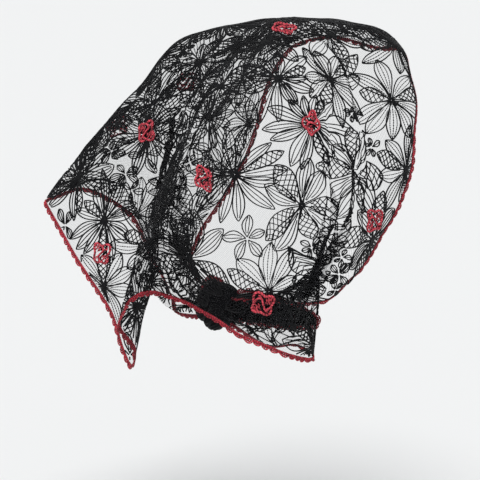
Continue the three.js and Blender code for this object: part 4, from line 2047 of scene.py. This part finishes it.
    def _edging(self, name: str, side: float) -> bpy.types.Object:
        """Works the crochet round one free end.

        Args:
            name: the name of the piece.
            side: 1 on the left and -1 on the right.

        Returns:
            The dressed piece.
        """
        along = np.linspace(self.edging_start, 1.0, self.edging_points)
        top = self._tail_place(side, along, np.full_like(along, 0.5), 0.0)
        bottom = self._tail_place(side, along, np.full_like(along, -0.5), 0.0)
        middle = self._tail_place(side, along - self.edging_lead, np.zeros_like(along), 0.0)
        points = np.concatenate([top, bottom[::-1]])
        out = unit(points - np.concatenate([middle, middle[::-1]]))
        normals = np.tile([0.0, -1.0, 0.0], (len(points), 1))
        return CrochetEdging(name, [], Edge(points, normals, out, 0.0), self.crochet).build()

    def build(self) -> list[bpy.types.Object]:
        """Builds the knot, its cords and the edging of its ends.

        Returns:
            The dressed pieces.
        """
        return [
            self._body(),
            self._cords(),
            self._edging("tail_edging_right", -1.0),
            self._edging("tail_edging_left", 1.0),
        ]


@dataclass
class Studio:
    """The camera, the pale floor and the soft lights."""

    target: tuple[float, float, float] = (-0.0088, 0.0502, -0.1565)
    azimuth: float = 50.0
    elevation: float = 14.0
    distance: float = 1.5
    lens: float = 154.1
    floor_height: float = -0.42
    floor_size: float = 30.0
    floor_colour: Colour = (0.80, 0.806, 0.806)
    floor_roughness: float = 0.9
    sky_colour: Colour = (0.97, 0.985, 1.0)
    sky_strength: float = 0.35
    # Columns: name, place it shines from, strength, width of the source in degrees.
    suns: tuple[tuple[str, tuple[float, float, float], float, float], ...] = (
        ("key", (-0.35, 0.4, 1.6), 2.4, 30.0),
        ("front_fill", (0.9, -1.2, 1.1), 0.3, 60.0),
    )

    def camera(self) -> None:
        """Adds the camera, behind the scarf's right side and a little above it."""
        around, above = math.radians(self.azimuth), math.radians(self.elevation)
        level = math.cos(above)
        away = Vector((-math.sin(around) * level, math.cos(around) * level, math.sin(above)))
        data = bpy.data.cameras.new("camera")
        data.lens = self.lens
        camera = bpy.data.objects.new("camera", data)
        camera.location = Vector(self.target) + away * self.distance
        camera.rotation_euler = (-away).to_track_quat("-Z", "Y").to_euler()
        bpy.context.scene.collection.objects.link(camera)
        bpy.context.scene.camera = camera

    def floor(self) -> None:
        """Adds the floor, far enough below to take only a faint shadow."""
        half = self.floor_size / 2.0
        ground = ((-half, -half), (half, -half), (half, half), (-half, half))
        corners = np.array([(x, y, self.floor_height) for x, y in ground])
        floor = mesh_object("floor", corners, [[0, 1, 2, 3]], "floor", corners[:, :2])
        recipe = Recipe("pale_floor")
        look = {"Base Color": self.floor_colour, "Roughness": self.floor_roughness}
        floor.data.materials.append(recipe.surface(look))

    def lights(self) -> None:
        """Adds an even sky, a broad key from above and behind, and a weaker fill from the front."""
        world = bpy.data.worlds.new("soft_sky")
        world.use_nodes = True
        background = world.node_tree.nodes["Background"]
        background.inputs["Color"].default_value = (*self.sky_colour, 1.0)
        background.inputs["Strength"].default_value = self.sky_strength
        bpy.context.scene.world = world
        bpy.context.scene.view_settings.view_transform = "Standard"
        for name, place, strength, width in self.suns:
            data = bpy.data.lights.new(name, "SUN")
            data.energy = strength
            data.angle = math.radians(width)
            light = bpy.data.objects.new(name, data)
            light.location = place
            light.rotation_euler = Vector(place).to_track_quat("Z", "Y").to_euler()
            bpy.context.scene.collection.objects.link(light)


def main() -> None:
    """Builds the studio and then the scarf, from the ground cloth out to what is sewn on it."""
    studio = Studio()
    studio.camera()
    log.info("packed model: %d nodes", len(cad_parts))
    cut = Cut()
    drape = Drape(cut, Pleats(), Wrinkles())
    log.info("drape: %d columns by %d rows", len(drape.turns), Drape.ROWS)
    ground = TulleGround(drape).build()
    embroidery = Embroidery(drape).build()
    crochet = CrochetFinish().material()
    # The edging's darker red is painted shade on the same cotton as the flowers.
    edging = CrochetFinish("shaded_red_crochet_edging", bright_tone_and_light=SHADED_EDGING_RED).material()
    front = Edge.of_drape(drape, -FRONT_CORNER, FRONT_CORNER, EDGING_SHORT)
    hem = Edge.of_drape(drape, HEM_CORNER, FULL_TURN - HEM_CORNER, EDGING_SHORT)
    edgings = [
        CrochetEdging("front_edging", ["front_trim"], front, edging).build(),
        CrochetEdging("hem_edging", ["hem_trim"], hem, edging).build(),
    ]
    flowers = [
        CrochetFlower(number, drape, place, crochet).build()
        for number, place in enumerate(ROSETTE_PLACES, start=1)
    ]
    knot = NapeKnot(edging).build()
    cut.covered_area()
    studio.floor()
    studio.lights()


if __name__ == "__main__":
    logging.basicConfig(level=logging.INFO, format="%(message)s")
    main()
